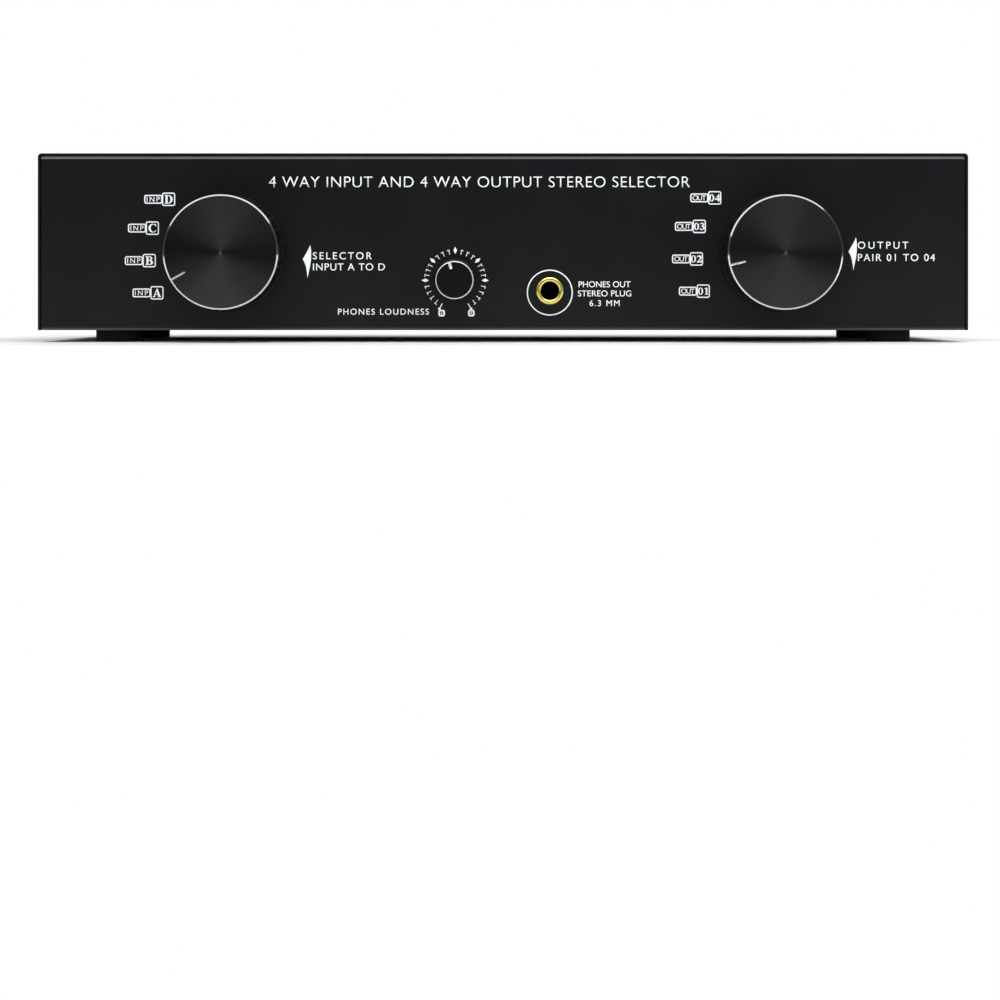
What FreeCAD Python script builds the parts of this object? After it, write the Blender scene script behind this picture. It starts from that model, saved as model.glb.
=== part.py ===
import FreeCAD, Part

# Speaker selector switch: a flat steel case with two selector knobs, a volume knob and a
# phone socket in front, and eight blocks of four binding posts behind.
# Frame: millimetres, +Z up, the front panel faces -Y. The origin lies on the surface that
# the feet stand on, under the middle of the whole object, knobs and binding posts included.

import math
import operator
import os
from types import SimpleNamespace

import Sketcher
from FreeCAD import Placement, Rotation, Vector

DIMENSIONS = {
    # Case and the reach of what stands out of it
    "case_width": 326.0,
    "case_depth": 118.0,
    "case_height": 62.0,
    "front_reach": 22.0,
    "rear_reach": 27.5,
    "slip_gap": 0.3,
    "cover_slip": 0.15,
    "panel_slip": 0.15,
    "screw_slip": 0.25,
    "tail_slip": 0.1,
    "turned_slip": 0.05,
    "grip_slip": 0.03,
    "end_room": 0.5,
    "small_edge": 0.3,
    "cover_sheet": 0.8,
    "cover_corner": 1.3,
    "tray_sheet": 1.5,
    "tray_bend": 1.5,
    "tray_flange": 14.0,
    "side_flange": 10.0,
    "panel_recess": 0.3,
    "hook_width": 20.0,
    "hook_grip": 5.0,
    # Screws of the cover and the feet
    "case_screw_radius": 1.45,
    "case_screw_length": 5.0,
    "case_head_radius": 2.8,
    "case_head_height": 1.4,
    "cover_screw_across": 91.5,
    "cover_screw_inset": 7.0,
    "recess_length": 3.4,
    "recess_width": 0.7,
    # Feet
    "foot_height": 4.2,
    "foot_radius": 7.8,
    "foot_chamfer": 0.5,
    "foot_well_radius": 3.6,
    "foot_well_depth": 2.4,
    "foot_across": 138.0,
    "foot_inset": 20.0,
    # Binding posts, measured from the outer face of the rear panel
    "post_pitch": 19.05,
    "post_row_gap": 25.4,
    "post_low_row": 20.8,
    "block_width": 36.5,
    "block_height": 45.0,
    "block_thick": 5.0,
    "block_floor": 1.0,
    "collar_radius": 7.1,
    "collar_length": 4.5,
    "collar_chamfer": 0.5,
    "boss_radius": 3.5,
    "boss_length": 2.5,
    "stem_radius": 3.3,
    "socket_radius": 2.0,
    "socket_depth": 18.5,
    "socket_cone": 0.6,
    "socket_mouth": 2.65,
    "wire_hole_radius": 1.2,
    "wire_hole_place": 6.8,
    "tail_radius": 0.75,
    "tail_length": 13.0,
    "cap_gap": 0.3,
    "cap_short": 0.5,
    "cap_radius": 6.4,
    "cap_bore": 3.38,
    "cap_nose_radius": 5.3,
    "cap_nose_length": 3.5,
    "cap_groove_length": 10.5,
    "cap_groove_width": 1.6,
    "cap_groove_depth": 0.7,
    "cap_edge": 0.45,
    "block_screw_radius": 1.25,
    "block_screw_length": 8.5,
    "block_head_radius": 2.5,
    "block_head_height": 1.7,
    # Board behind the terminal blocks
    "board_gap": 9.5,
    "board_sheet": 1.6,
    "board_width": 304.0,
    "board_foot": 3.0,
    "board_top": 56.0,
    # Selector knobs, measured from the outer face of the front panel
    "selector_across": 96.5,
    "selector_height": 27.0,
    "knob_gap": 1.0,
    "knob_skirt_radius": 20.5,
    "knob_skirt_length": 1.6,
    "knob_radius": 19.7,
    "knob_rim_length": 3.5,
    "knob_chamfer": 0.5,
    "knob_well_radius": 10.0,
    "knob_well_depth": 6.5,
    "knob_bore_end": 19.0,
    "dimple_radius": 0.55,
    "dimple_depth": 0.35,
    "flute_radius": 1.35,
    "flute_depth": 0.55,
    "pointer_length": 5.8,
    "pointer_width": 0.75,
    "pointer_depth": 0.35,
    "input_pointer": 209.6,
    "output_pointer": 193.3,
    # Selector switches behind the front panel
    "bushing_radius": 4.7,
    "bushing_reach": 6.0,
    "shaft_radius": 3.175,
    "shaft_reach": 18.5,
    "shaft_flat": 2.45,
    "shaft_tail": 31.2,
    "shaft_collar_radius": 5.0,
    "shaft_collar_length": 1.2,
    "frame_side": 38.0,
    "frame_depth": 9.0,
    "frame_corner": 3.0,
    "wafer_radius": 20.0,
    "wafer_thick": 1.6,
    "wafer_eye": 7.2,
    "wafer_boss_radius": 3.5,
    "wafer_boss_length": 8.0,
    "stack_screw_rise": 16.0,
    "stack_screw_radius": 1.45,
    "stack_screw_grip": 5.5,
    "rotor_radius": 6.9,
    "finger_reach": 11.6,
    "finger_width": 6.0,
    "finger_thick": 0.6,
    "lug_inner": 12.0,
    "lug_outer": 23.6,
    "lug_width": 2.4,
    "lug_thick": 0.6,
    "lug_eye": 22.0,
    "lug_eye_radius": 0.95,
    "bus_wire_radius": 0.85,
    "bus_wire_nib": 0.2,
    "bus_wire_tail": 0.8,
    "nut_flats": 14.0,
    "nut_thick": 2.6,
    # Volume control
    "volume_across": -16.75,
    "volume_height": 17.5,
    "volume_pointer": 106.2,
    "volume_gap": 0.8,
    "volume_skirt_radius": 7.5,
    "volume_skirt_length": 2.4,
    "volume_body_radius": 6.8,
    "volume_face_radius": 6.55,
    "volume_chamfer": 0.45,
    "volume_reach": 14.0,
    "volume_bore_end": 12.0,
    "volume_nut_room": 1.0,
    "volume_mark_length": 2.6,
    "volume_mark_width": 1.1,
    "pot_bushing_radius": 3.5,
    "pot_bushing_reach": 4.5,
    "pot_shaft_radius": 3.0,
    "pot_shaft_reach": 11.5,
    "pot_shaft_tail": 10.0,
    "pot_shaft_flat": 1.5,
    "pot_width": 17.0,
    "pot_depth": 11.5,
    "pot_above": 8.5,
    "pot_nut_flats": 10.0,
    "pot_nut_thick": 2.0,
    # Phone socket and the small board that carries it
    "jack_across": 16.4,
    "jack_height": 13.8,
    "jack_sleeve_radius": 4.75,
    "jack_sleeve_reach": 3.2,
    "jack_sleeve_tail": 6.0,
    "jack_sleeve_chamfer": 0.45,
    "jack_flange_radius": 6.0,
    "jack_flange_thick": 1.0,
    "jack_bore": 3.25,
    "jack_bore_end": 29.0,
    "jack_width": 16.0,
    "jack_back": 31.0,
    "jack_above": 7.5,
    "leaf_width": 3.0,
    "leaf_thick": 0.4,
    "leaf_start": 12.0,
    "leaf_pitch": 5.0,
    "phones_board_half": 33.0,
    "phones_board_front": 3.0,
    "phones_board_back": 50.0,
    "phones_board_top": 5.0,
    "resistor_radius": 1.8,
    "resistor_length": 9.0,
    "resistor_lift": 2.6,
    "resistor_pin": 0.4,
    "resistor_pitch": 6.0,
    "phones_wire_rise": 7.5,
    "phones_wire_bend": 3.0,
    "phones_wire_start": 46.0,
    "phones_wire_pitch": 6.0,
}

POST_COLUMNS = 16
POST_GROUPS = ("in_a", "in_b", "in_c", "in_d", "out_1", "out_2", "out_3", "out_4")
CAP_GROOVES = 12
KNOB_FLUTES = 28
LUGS_PER_POLE = 5
LUG_STEP = 22.5
FIRST_LUG = -LUG_STEP * (LUGS_PER_POLE - 0.5) / 2
HEAD_TAPER = 0.72
RECESS_SHARE = 0.7
BEYOND = 1.0
NEAR = 0.01
FRONT_VIEW_AXIS = Vector(0, 1, 0)


class Size:
    """A length in mm together with the sheet expression that gives it."""

    def __init__(self, value, text):
        self.value = float(value)
        self.text = text

    def joined(self, sign, other, work, swapped=False):
        left, right = (other, self) if swapped else (self, other)
        return Size(work(value_of(left), value_of(right)), f"({text_of(left)} {sign} {text_of(right)})")

    def __add__(self, other):
        return self.joined("+", other, operator.add)

    def __radd__(self, other):
        return self.joined("+", other, operator.add, True)

    def __sub__(self, other):
        return self.joined("-", other, operator.sub)

    def __rsub__(self, other):
        return self.joined("-", other, operator.sub, True)

    def __mul__(self, other):
        return self.joined("*", other, operator.mul)

    def __rmul__(self, other):
        return self.joined("*", other, operator.mul, True)

    def __truediv__(self, other):
        return self.joined("/", other, operator.truediv)

    def __neg__(self):
        return self.joined("*", -1, operator.mul)


def value_of(size):
    return size.value if isinstance(size, Size) else float(size)


def text_of(size):
    return size.text if isinstance(size, Size) else f"({float(size)!r})"


def fill_sheet(doc):
    """Write the driving dimensions into the sheet and return them as sizes."""
    sheet = doc.addObject("Spreadsheet::Sheet", "Dims")
    for row, (alias, value) in enumerate(DIMENSIONS.items(), start=1):
        sheet.set(f"A{row}", alias)
        sheet.set(f"B{row}", str(value))
        sheet.setAlias(f"B{row}", alias)
    doc.recompute()
    return SimpleNamespace(**{alias: Size(sheet.get(alias), f"Dims.{alias}") for alias in DIMENSIONS})


doc = FreeCAD.newDocument("speaker_selector")
size = fill_sheet(doc)
nodes = []

# Shared places: the panels' outer faces, and the heights of the two post rows
middle = (size.front_reach - size.rear_reach) / 2
half_depth = size.case_depth / 2 - size.panel_recess
front_face = middle - half_depth
rear_face = middle + half_depth
post_tip = size.rear_reach + size.panel_recess
knob_face = -(size.front_reach + size.panel_recess)
first_post = size.post_pitch * (-(POST_COLUMNS - 1) / 2)
screw_row = size.post_low_row + size.post_row_gap / 2
frame_back = size.tray_sheet + size.frame_depth
wafer_pitch = size.wafer_boss_length + size.wafer_thick
wafer_back = frame_back + wafer_pitch
stack_back = wafer_back + wafer_pitch


# Helpers for sketches and features

def bind(item, **sizes):
    """Bind properties of an object to the sheet."""
    for name, amount in sizes.items():
        item.setExpression(name, text_of(amount))


def place(item, x=0, y=0, z=0, turn=None):
    """Turn an object, then bind its place to the sheet."""
    item.Placement = Placement(Vector(), turn or Rotation())
    for axis, amount in zip("xyz", (x, y, z)):
        item.setExpression(f"Placement.Base.{axis}", text_of(amount))


def new_body(name):
    body = doc.addObject("PartDesign::Body", name)
    body.AllowCompound = True
    return body


def origin_item(body, role):
    return next(item for item in body.Origin.OriginFeatures if item.Role == role)


def new_sketch(body, plane, offset=0):
    """Make a sketch on one of the body's own planes, moved along its normal by offset."""
    sketch = body.newObject("Sketcher::SketchObject", f"{body.Name}_sketch")
    sketch.AttachmentSupport = [(origin_item(body, plane), "")]
    sketch.MapMode = "FlatFace"
    sketch.setExpression("AttachmentOffset.Base.z", text_of(offset))
    return sketch


def pin(sketch, element, corner, across, up):
    """Hold one point of a sketch at sheet-driven distances from the sketch's origin."""
    for kind, axis, amount in (("DistanceX", -2, across), ("DistanceY", -1, up)):
        if value_of(amount) == 0:
            sketch.addConstraint(Sketcher.Constraint("PointOnObject", element, corner, axis))
        else:
            link = Sketcher.Constraint(kind, -1, 1, element, corner, value_of(amount))
            number = sketch.addConstraint(link)
            sketch.setExpression(f"Constraints[{number}]", text_of(amount))


def outline(sketch, points):
    """Draw a closed outline of straight lines through sheet-driven corners."""
    first = sketch.GeometryCount
    count = len(points)
    corners = [Vector(value_of(across), value_of(up), 0) for across, up in points]
    for index, corner in enumerate(corners):
        sketch.addGeometry(Part.LineSegment(corner, corners[(index + 1) % count]))
    for index, (across, up) in enumerate(points):
        before = first + (index - 1) % count
        sketch.addConstraint(Sketcher.Constraint("Coincident", before, 2, first + index, 1))
        pin(sketch, first + index, 1, across, up)


def rectangle(sketch, left, right, low, high):
    outline(sketch, [(left, low), (right, low), (right, high), (left, high)])


def circle(sketch, across, up, radius):
    """Draw a circle with a sheet-driven centre and radius."""
    centre = Vector(value_of(across), value_of(up), 0)
    element = sketch.addGeometry(Part.Circle(centre, Vector(0, 0, 1), value_of(radius)))
    pin(sketch, element, 3, across, up)
    number = sketch.addConstraint(Sketcher.Constraint("Radius", element, value_of(radius)))
    sketch.setExpression(f"Constraints[{number}]", text_of(radius))


def pad(body, sketch, length, back=False, both=False):
    """Grow a sketch along its normal, against it, or evenly to both sides."""
    feature = body.newObject("PartDesign::Pad", f"{body.Name}_pad")
    feature.Profile = sketch
    feature.Reversed = back
    feature.SideType = "Symmetric" if both else "One side"
    bind(feature, Length=length)
    body.Tip = feature
    doc.recompute()
    return feature


def pocket(body, sketch, length, back=False, both=False):
    """Cut a sketch against its normal, along it, or to both sides, and prove that it cuts."""
    doc.recompute()
    before = body.Shape.Volume
    feature = body.newObject("PartDesign::Pocket", f"{body.Name}_pocket")
    feature.Profile = sketch
    feature.Reversed = back
    feature.SideType = "Symmetric" if both else "One side"
    bind(feature, Length=length)
    body.Tip = feature
    doc.recompute()
    if not body.Shape.Volume < before:
        failed = [item.Name for item in doc.Objects if "Invalid" in item.State]
        raise RuntimeError(f"{feature.Name} cuts nothing, failed: {failed}")
    return feature


def turn_profile(body, points, plane="XY_Plane"):
    """Turn an outline of radius and height pairs about the sketch's upright axis."""
    sketch = new_sketch(body, plane)
    outline(sketch, points)
    feature = body.newObject("PartDesign::Revolution", f"{body.Name}_turned")
    feature.Profile = sketch
    feature.ReferenceAxis = (sketch, ["V_Axis"])
    feature.Angle = 360
    body.Tip = feature
    doc.recompute()
    return feature


def row(body, features, count, pitch, axis="X_Axis"):
    """Repeat features along one axis of the body."""
    feature = body.newObject("PartDesign::LinearPattern", f"{body.Name}_row")
    feature.Originals = features
    feature.Direction = (origin_item(body, axis), [""])
    feature.Mode = "Spacing"
    feature.Occurrences = count
    bind(feature, Offset=pitch)
    body.Tip = feature
    doc.recompute()
    return feature


def grid(body, features, columns, column_pitch, rows, row_pitch):
    """Repeat features along X, and the whole row again along Z."""
    feature = body.newObject("PartDesign::MultiTransform", f"{body.Name}_grid")
    feature.Originals = features
    steps = []
    for axis, count, pitch in (("X_Axis", columns, column_pitch), ("Z_Axis", rows, row_pitch)):
        step = body.newObject("PartDesign::LinearPattern", f"{body.Name}_step")
        step.Direction = (origin_item(body, axis), [""])
        step.Mode = "Spacing"
        step.Occurrences = count
        bind(step, Offset=pitch)
        steps.append(step)
    feature.Transformations = steps
    body.Tip = feature
    doc.recompute()
    return feature


def ring(body, features, count):
    """Repeat features evenly round the Y axis of the body."""
    feature = body.newObject("PartDesign::PolarPattern", f"{body.Name}_ring")
    feature.Originals = features
    feature.Axis = (origin_item(body, "Y_Axis"), [""])
    feature.Angle = 360
    feature.Occurrences = count
    body.Tip = feature
    doc.recompute()
    return feature


def edges_along(shape, direction, wanted):
    """Name the straight edges along a direction whose middle point passes the test."""
    names = []
    for number, edge in enumerate(shape.Edges, start=1):
        if edge.Curve.TypeId != "Part::GeomLine":
            continue
        line = edge.Curve.Direction
        if abs(line.dot(direction)) > 0.999 and wanted(edge.CenterOfMass):
            names.append(f"Edge{number}")
    return names


def rim_edges(shape, radius, along):
    """Name the circular edges of one radius that lie at one place along Y."""
    names = []
    for number, edge in enumerate(shape.Edges, start=1):
        if edge.Curve.TypeId != "Part::GeomCircle":
            continue
        if abs(edge.Curve.Radius - radius.value) < NEAR and abs(edge.Curve.Center.y - along.value) < NEAR:
            names.append(f"Edge{number}")
    return names


def bevel_edges(body, names, width):
    base = body.Tip
    feature = body.newObject("PartDesign::Chamfer", f"{body.Name}_chamfer")
    feature.Base = (base, names)
    bind(feature, Size=width)
    body.Tip = feature
    doc.recompute()
    return feature


def round_edges(body, names, radius):
    base = body.Tip
    feature = body.newObject("PartDesign::Fillet", f"{body.Name}_fillet")
    feature.Base = (base, names)
    bind(feature, Radius=radius)
    body.Tip = feature
    doc.recompute()
    return feature


def cross_recess(body, plane, offset, depth, back=False):
    """Sink the cross-shaped driver recess into a screw head."""
    sketch = new_sketch(body, plane, offset)
    far = size.recess_length / 2
    near = size.recess_width / 2
    outline(sketch, [
        (near, near), (near, far), (-near, far), (-near, near), (-far, near), (-far, -near),
        (-near, -near), (-near, -far), (near, -far), (near, -near), (far, -near), (far, near),
    ])
    return pocket(body, sketch, depth, back)


def copy_of(master, name, x=0, y=0, z=0, turn=None):
    """Place a copy of a master piece."""
    copy = doc.addObject("Part::Compound", name)
    copy.Links = [master]
    place(copy, x, y, z, turn)
    return copy


def group_of(name, members):
    """Gather like pieces, each a separate solid, under one name."""
    group = doc.addObject("Part::Compound", name)
    group.Links = members
    return group


def facing(angle):
    """Turn the +X direction to an angle counted anticlockwise as seen from the front."""
    return Rotation(FRONT_VIEW_AXIS, -value_of(angle))


# Case

def chassis_tray():
    """Bent tray: bottom, both panels, top flanges and side flanges, with all its holes."""
    body = new_body("chassis_tray")
    sheet = size.tray_sheet
    top = size.case_height - size.cover_sheet - size.cover_slip
    flange = half_depth - size.tray_flange
    half_width = size.case_width / 2 - size.cover_sheet - size.cover_slip
    profile = new_sketch(body, "YZ_Plane")
    outline(profile, [
        (-flange, top), (-half_depth, top), (-half_depth, 0), (half_depth, 0),
        (half_depth, top), (flange, top), (flange, top - sheet), (half_depth - sheet, top - sheet),
        (half_depth - sheet, sheet), (sheet - half_depth, sheet),
        (sheet - half_depth, top - sheet), (-flange, top - sheet),
    ])
    pad(body, profile, half_width * 2, both=True)
    returns = new_sketch(body, "XY_Plane", sheet)
    for side in (-1, 1):
        outer = half_width * side
        inner = outer - sheet * side
        for end in (-1, 1):
            wall = (half_depth - sheet) * end
            rectangle(returns, outer, inner, wall, wall - size.side_flange * end)
    pad(body, returns, top - sheet * 2)
    bends = edges_along(
        body.Shape, Vector(1, 0, 0),
        lambda at: abs(abs(at.y) - half_depth.value) < NEAR and (at.z < NEAR or at.z > top.value - NEAR))
    round_edges(body, bends, size.tray_bend)
    cut_edges = edges_along(
        body.Shape, Vector(0, 0, 1),
        lambda at: abs(abs(at.y) - half_depth.value) < NEAR and abs(abs(at.x) - half_width.value) < NEAR)
    round_edges(body, cut_edges, size.small_edge)

    front_holes = new_sketch(body, "XZ_Plane")
    for side in (-1, 1):
        circle(front_holes, size.selector_across * side, size.selector_height,
               size.bushing_radius + size.panel_slip)
    circle(front_holes, size.volume_across, size.volume_height, size.pot_bushing_radius + size.panel_slip)
    circle(front_holes, size.jack_across, size.jack_height, size.jack_sleeve_radius + size.panel_slip)
    pocket(body, front_holes, half_depth + BEYOND, back=True)

    post_holes = new_sketch(body, "XZ_Plane")
    circle(post_holes, first_post, size.post_low_row, size.collar_radius + size.panel_slip)
    posts = pocket(body, post_holes, half_depth + BEYOND)
    grid(body, [posts], POST_COLUMNS, size.post_pitch, 2, size.post_row_gap)
    screw_holes = new_sketch(body, "XZ_Plane")
    circle(screw_holes, first_post, screw_row, size.block_screw_radius + size.screw_slip)
    screws = pocket(body, screw_holes, half_depth + BEYOND)
    row(body, [screws], POST_COLUMNS, size.post_pitch)

    foot_holes = new_sketch(body, "XY_Plane")
    foot_place = size.case_depth / 2 - size.foot_inset
    for side in (-1, 1):
        for end in (-1, 1):
            circle(foot_holes, size.foot_across * side, foot_place * end,
                   size.case_screw_radius + size.turned_slip)
    pocket(body, foot_holes, sheet * 2, both=True)
    cover_holes = new_sketch(body, "XY_Plane", top)
    for side in (-1, 1):
        hole_place = size.case_depth / 2 - size.cover_screw_inset
        circle(cover_holes, size.cover_screw_across * side, hole_place,
               size.case_screw_radius + size.turned_slip)
    pocket(body, cover_holes, sheet * 2)
    place(body, 0, middle, size.foot_height)
    nodes.append(body)


def top_cover():
    """Folded cover: the top and both sides, two screw holes behind and two hooks in front."""
    body = new_body("top_cover")
    sheet = size.cover_sheet
    wide = size.case_width / 2
    high = size.case_height
    profile = new_sketch(body, "XZ_Plane")
    outline(profile, [
        (-wide, 0), (-wide, high), (wide, high), (wide, 0),
        (wide - sheet, 0), (wide - sheet, high - sheet), (sheet - wide, high - sheet), (sheet - wide, 0),
    ])
    pad(body, profile, size.case_depth, both=True)
    folds = edges_along(
        body.Shape, Vector(0, 1, 0),
        lambda at: at.z > high.value - NEAR and abs(at.x) > wide.value - NEAR)
    round_edges(body, folds, size.cover_corner)
    creases = edges_along(
        body.Shape, Vector(0, 1, 0),
        lambda at: abs(at.z - high.value + sheet.value) < NEAR
        and abs(abs(at.x) - wide.value + sheet.value) < NEAR)
    round_edges(body, creases, size.cover_corner - sheet)

    under_flange = high - sheet - size.cover_slip * 2 - size.tray_sheet
    flange_end = size.tray_flange - half_depth
    leg_front = flange_end + size.cover_slip
    hook = new_sketch(body, "YZ_Plane", size.cover_screw_across - size.hook_width / 2)
    outline(hook, [
        (flange_end - size.hook_grip, under_flange), (leg_front, under_flange), (leg_front, high - sheet),
        (leg_front + sheet, high - sheet), (leg_front + sheet, under_flange - sheet),
        (flange_end - size.hook_grip, under_flange - sheet),
    ])
    hook_pad = pad(body, hook, size.hook_width)
    twin = body.newObject("PartDesign::Mirrored", "top_cover_twin_hook")
    twin.Originals = [hook_pad]
    twin.MirrorPlane = (origin_item(body, "YZ_Plane"), [""])
    body.Tip = twin
    doc.recompute()

    holes = new_sketch(body, "XY_Plane", high)
    for side in (-1, 1):
        hole_place = size.case_depth / 2 - size.cover_screw_inset
        circle(holes, size.cover_screw_across * side, hole_place, size.case_screw_radius + size.screw_slip)
    pocket(body, holes, sheet * 2)
    place(body, 0, middle, size.foot_height)
    nodes.append(body)


def feet():
    """Four rubber feet with a well that keeps the screw head clear of the floor."""
    foot = new_body("foot")
    hole = size.case_screw_radius + size.screw_slip
    turn_profile(foot, [
        (size.foot_well_radius, 0), (size.foot_radius - size.foot_chamfer, 0),
        (size.foot_radius, size.foot_chamfer), (size.foot_radius, size.foot_height),
        (hole, size.foot_height), (hole, size.foot_well_depth),
        (size.foot_well_radius, size.foot_well_depth),
    ], "XZ_Plane")
    copies = []
    for number, (side, end) in enumerate(((-1, -1), (1, -1), (-1, 1), (1, 1)), start=1):
        along = middle + (size.case_depth / 2 - size.foot_inset) * end
        copies.append(copy_of(foot, f"foot_{number}", size.foot_across * side, along))
    nodes.append(group_of("feet", copies))


def case_screws():
    """Six equal pan-head screws: two hold the cover and four hold the feet."""
    screw = new_body("case_screw")
    head = size.case_head_radius
    tall = size.case_head_height
    turn_profile(screw, [
        (0, -size.case_screw_length), (size.case_screw_radius, -size.case_screw_length),
        (size.case_screw_radius, 0), (head, 0), (head, tall / 2), (head * HEAD_TAPER, tall), (0, tall),
    ], "XZ_Plane")
    cross_recess(screw, "XY_Plane", tall, tall * RECESS_SHARE)
    cover_top = size.foot_height + size.case_height
    rear_place = middle + size.case_depth / 2 - size.cover_screw_inset
    copies = []
    for side in (-1, 1):
        name = f"cover_screw_{len(copies) + 1}"
        copies.append(copy_of(screw, name, size.cover_screw_across * side, rear_place, cover_top))
    upside_down = Rotation(Vector(1, 0, 0), 180)
    for side, end in ((-1, -1), (1, -1), (-1, 1), (1, 1)):
        along = middle + (size.case_depth / 2 - size.foot_inset) * end
        name = f"foot_screw_{len(copies) - 1}"
        place_across = size.foot_across * side
        copies.append(copy_of(screw, name, place_across, along, size.foot_well_depth, upside_down))
    nodes.append(group_of("case_screws", copies))


# Binding posts

def terminal_blocks():
    """Eight moulded blocks, each with four collars that pass through the rear panel."""
    body = new_body("terminal_blocks")
    first_group = first_post + size.post_pitch / 2
    plate_back = size.tray_sheet + size.block_thick
    plate = new_sketch(body, "XZ_Plane", size.tray_sheet)
    rectangle(plate, first_group - size.block_width / 2, first_group + size.block_width / 2,
              screw_row - size.block_height / 2, screw_row + size.block_height / 2)
    features = [pad(body, plate, size.block_thick)]
    corners = [(first_post + size.post_pitch * column, size.post_low_row + size.post_row_gap * level)
               for column in (0, 1) for level in (0, 1)]
    screw_places = [(first_post + size.post_pitch * column, screw_row) for column in (0, 1)]
    collars = new_sketch(body, "XZ_Plane", size.tray_sheet)
    for across, up in corners:
        circle(collars, across, up, size.collar_radius)
    features.append(pad(body, collars, size.tray_sheet + size.collar_length, back=True))
    bosses = new_sketch(body, "XZ_Plane", plate_back)
    for across, up in screw_places:
        circle(bosses, across, up, size.boss_radius)
    features.append(pad(body, bosses, size.boss_length))
    stem_bores = new_sketch(body, "XZ_Plane", -size.collar_length)
    for across, up in corners:
        circle(stem_bores, across, up, size.stem_radius + size.turned_slip)
    bore_depth = size.collar_length + plate_back - size.block_floor
    features.append(pocket(body, stem_bores, bore_depth, back=True))
    small_holes = new_sketch(body, "XZ_Plane", -size.collar_length)
    for across, up in corners:
        circle(small_holes, across, up, size.tail_radius + size.tail_slip)
    for across, up in screw_places:
        circle(small_holes, across, up, size.block_screw_radius + size.turned_slip)
    features.append(pocket(body, small_holes, size.collar_length + plate_back + size.boss_length, back=True))
    row(body, features, len(POST_GROUPS), size.post_pitch * 2)
    bevel_edges(body, rim_edges(body.Shape, size.collar_radius, size.collar_length), size.collar_chamfer)
    place(body, 0, rear_face, size.foot_height)
    nodes.append(body)


def terminal_stems():
    """Thirty-two metal posts: socket for a 4 mm plug, cross hole for bare wire, solder tail."""
    body = new_body("terminal_stems")
    base = size.block_floor - size.tray_sheet - size.block_thick + size.turned_slip
    mouth_slope = size.socket_mouth - size.socket_radius
    floor = post_tip - size.socket_depth
    stem = turn_profile(body, [
        (0, -size.tail_length), (size.tail_radius, -size.tail_length), (size.tail_radius, base),
        (size.stem_radius, base), (size.stem_radius, post_tip - size.small_edge),
        (size.stem_radius - size.small_edge, post_tip), (size.socket_mouth, post_tip),
        (size.socket_radius, post_tip - mouth_slope), (size.socket_radius, floor),
        (0, floor - size.socket_cone),
    ])
    wire_hole = new_sketch(body, "XY_Plane")
    circle(wire_hole, 0, size.wire_hole_place, size.wire_hole_radius)
    drilled = pocket(body, wire_hole, size.stem_radius * 4, both=True)
    grid(body, [stem, drilled], POST_COLUMNS, size.post_pitch, 2, size.post_row_gap)
    place(body, first_post, rear_face, size.foot_height + size.post_low_row)
    nodes.append(body)


def terminal_caps():
    """Thirty-two moulded caps, red above and black below, each on its own post."""
    cap = new_body("cap")
    base = size.collar_length + size.cap_gap
    front = post_tip - size.cap_short
    step = front - size.cap_nose_length
    edge = size.cap_edge
    turn_profile(cap, [
        (size.cap_bore, base), (size.cap_radius - edge, base), (size.cap_radius, base + edge),
        (size.cap_radius, step - edge), (size.cap_radius - edge, step), (size.cap_nose_radius, step),
        (size.cap_nose_radius, front - edge), (size.cap_nose_radius - edge, front), (size.cap_bore, front),
    ])
    groove = new_sketch(cap, "XZ_Plane", -step)
    rectangle(groove, -size.cap_groove_width / 2, size.cap_groove_width / 2,
              size.cap_radius - size.cap_groove_depth, size.cap_radius + BEYOND)
    cut = pocket(cap, groove, size.cap_groove_length, back=True)
    ring(cap, [cut], CAP_GROOVES)
    for column in range(POST_COLUMNS):
        group = POST_GROUPS[column // 2]
        side = ("left", "right")[column % 2]
        across = first_post + size.post_pitch * column
        for colour, height in (("black", size.post_low_row), ("red", size.post_low_row + size.post_row_gap)):
            name = f"{colour}_cap_{group}_{side}"
            nodes.append(copy_of(cap, name, across, rear_face, size.foot_height + height))


def terminal_screws():
    """Sixteen black screws that hold the blocks to the rear panel, two to a block."""
    body = new_body("terminal_screws")
    head = size.block_head_radius
    tall = size.block_head_height
    shank = turn_profile(body, [
        (0, -size.block_screw_length), (size.block_screw_radius, -size.block_screw_length),
        (size.block_screw_radius, 0), (head, 0), (head, tall / 2), (head * HEAD_TAPER, tall), (0, tall),
    ])
    recess = cross_recess(body, "XZ_Plane", -tall, tall * RECESS_SHARE, back=True)
    row(body, [shank, recess], POST_COLUMNS, size.post_pitch)
    place(body, first_post, rear_face, size.foot_height + screw_row)
    nodes.append(body)


# Selector switches

def lug_angles(wafer):
    """Angles of the contact lugs of one wafer: two poles of five lugs, half a step on per wafer."""
    angles = []
    for pole in range(2):
        for lug in range(LUGS_PER_POLE):
            angles.append(FIRST_LUG + 180.0 * pole + LUG_STEP * (lug + wafer / 2))
    return angles


def round_place(angle):
    """Places round a circle are points of a turned direction."""
    return facing(angle).multVec(Vector(1, 0, 0))


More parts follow.
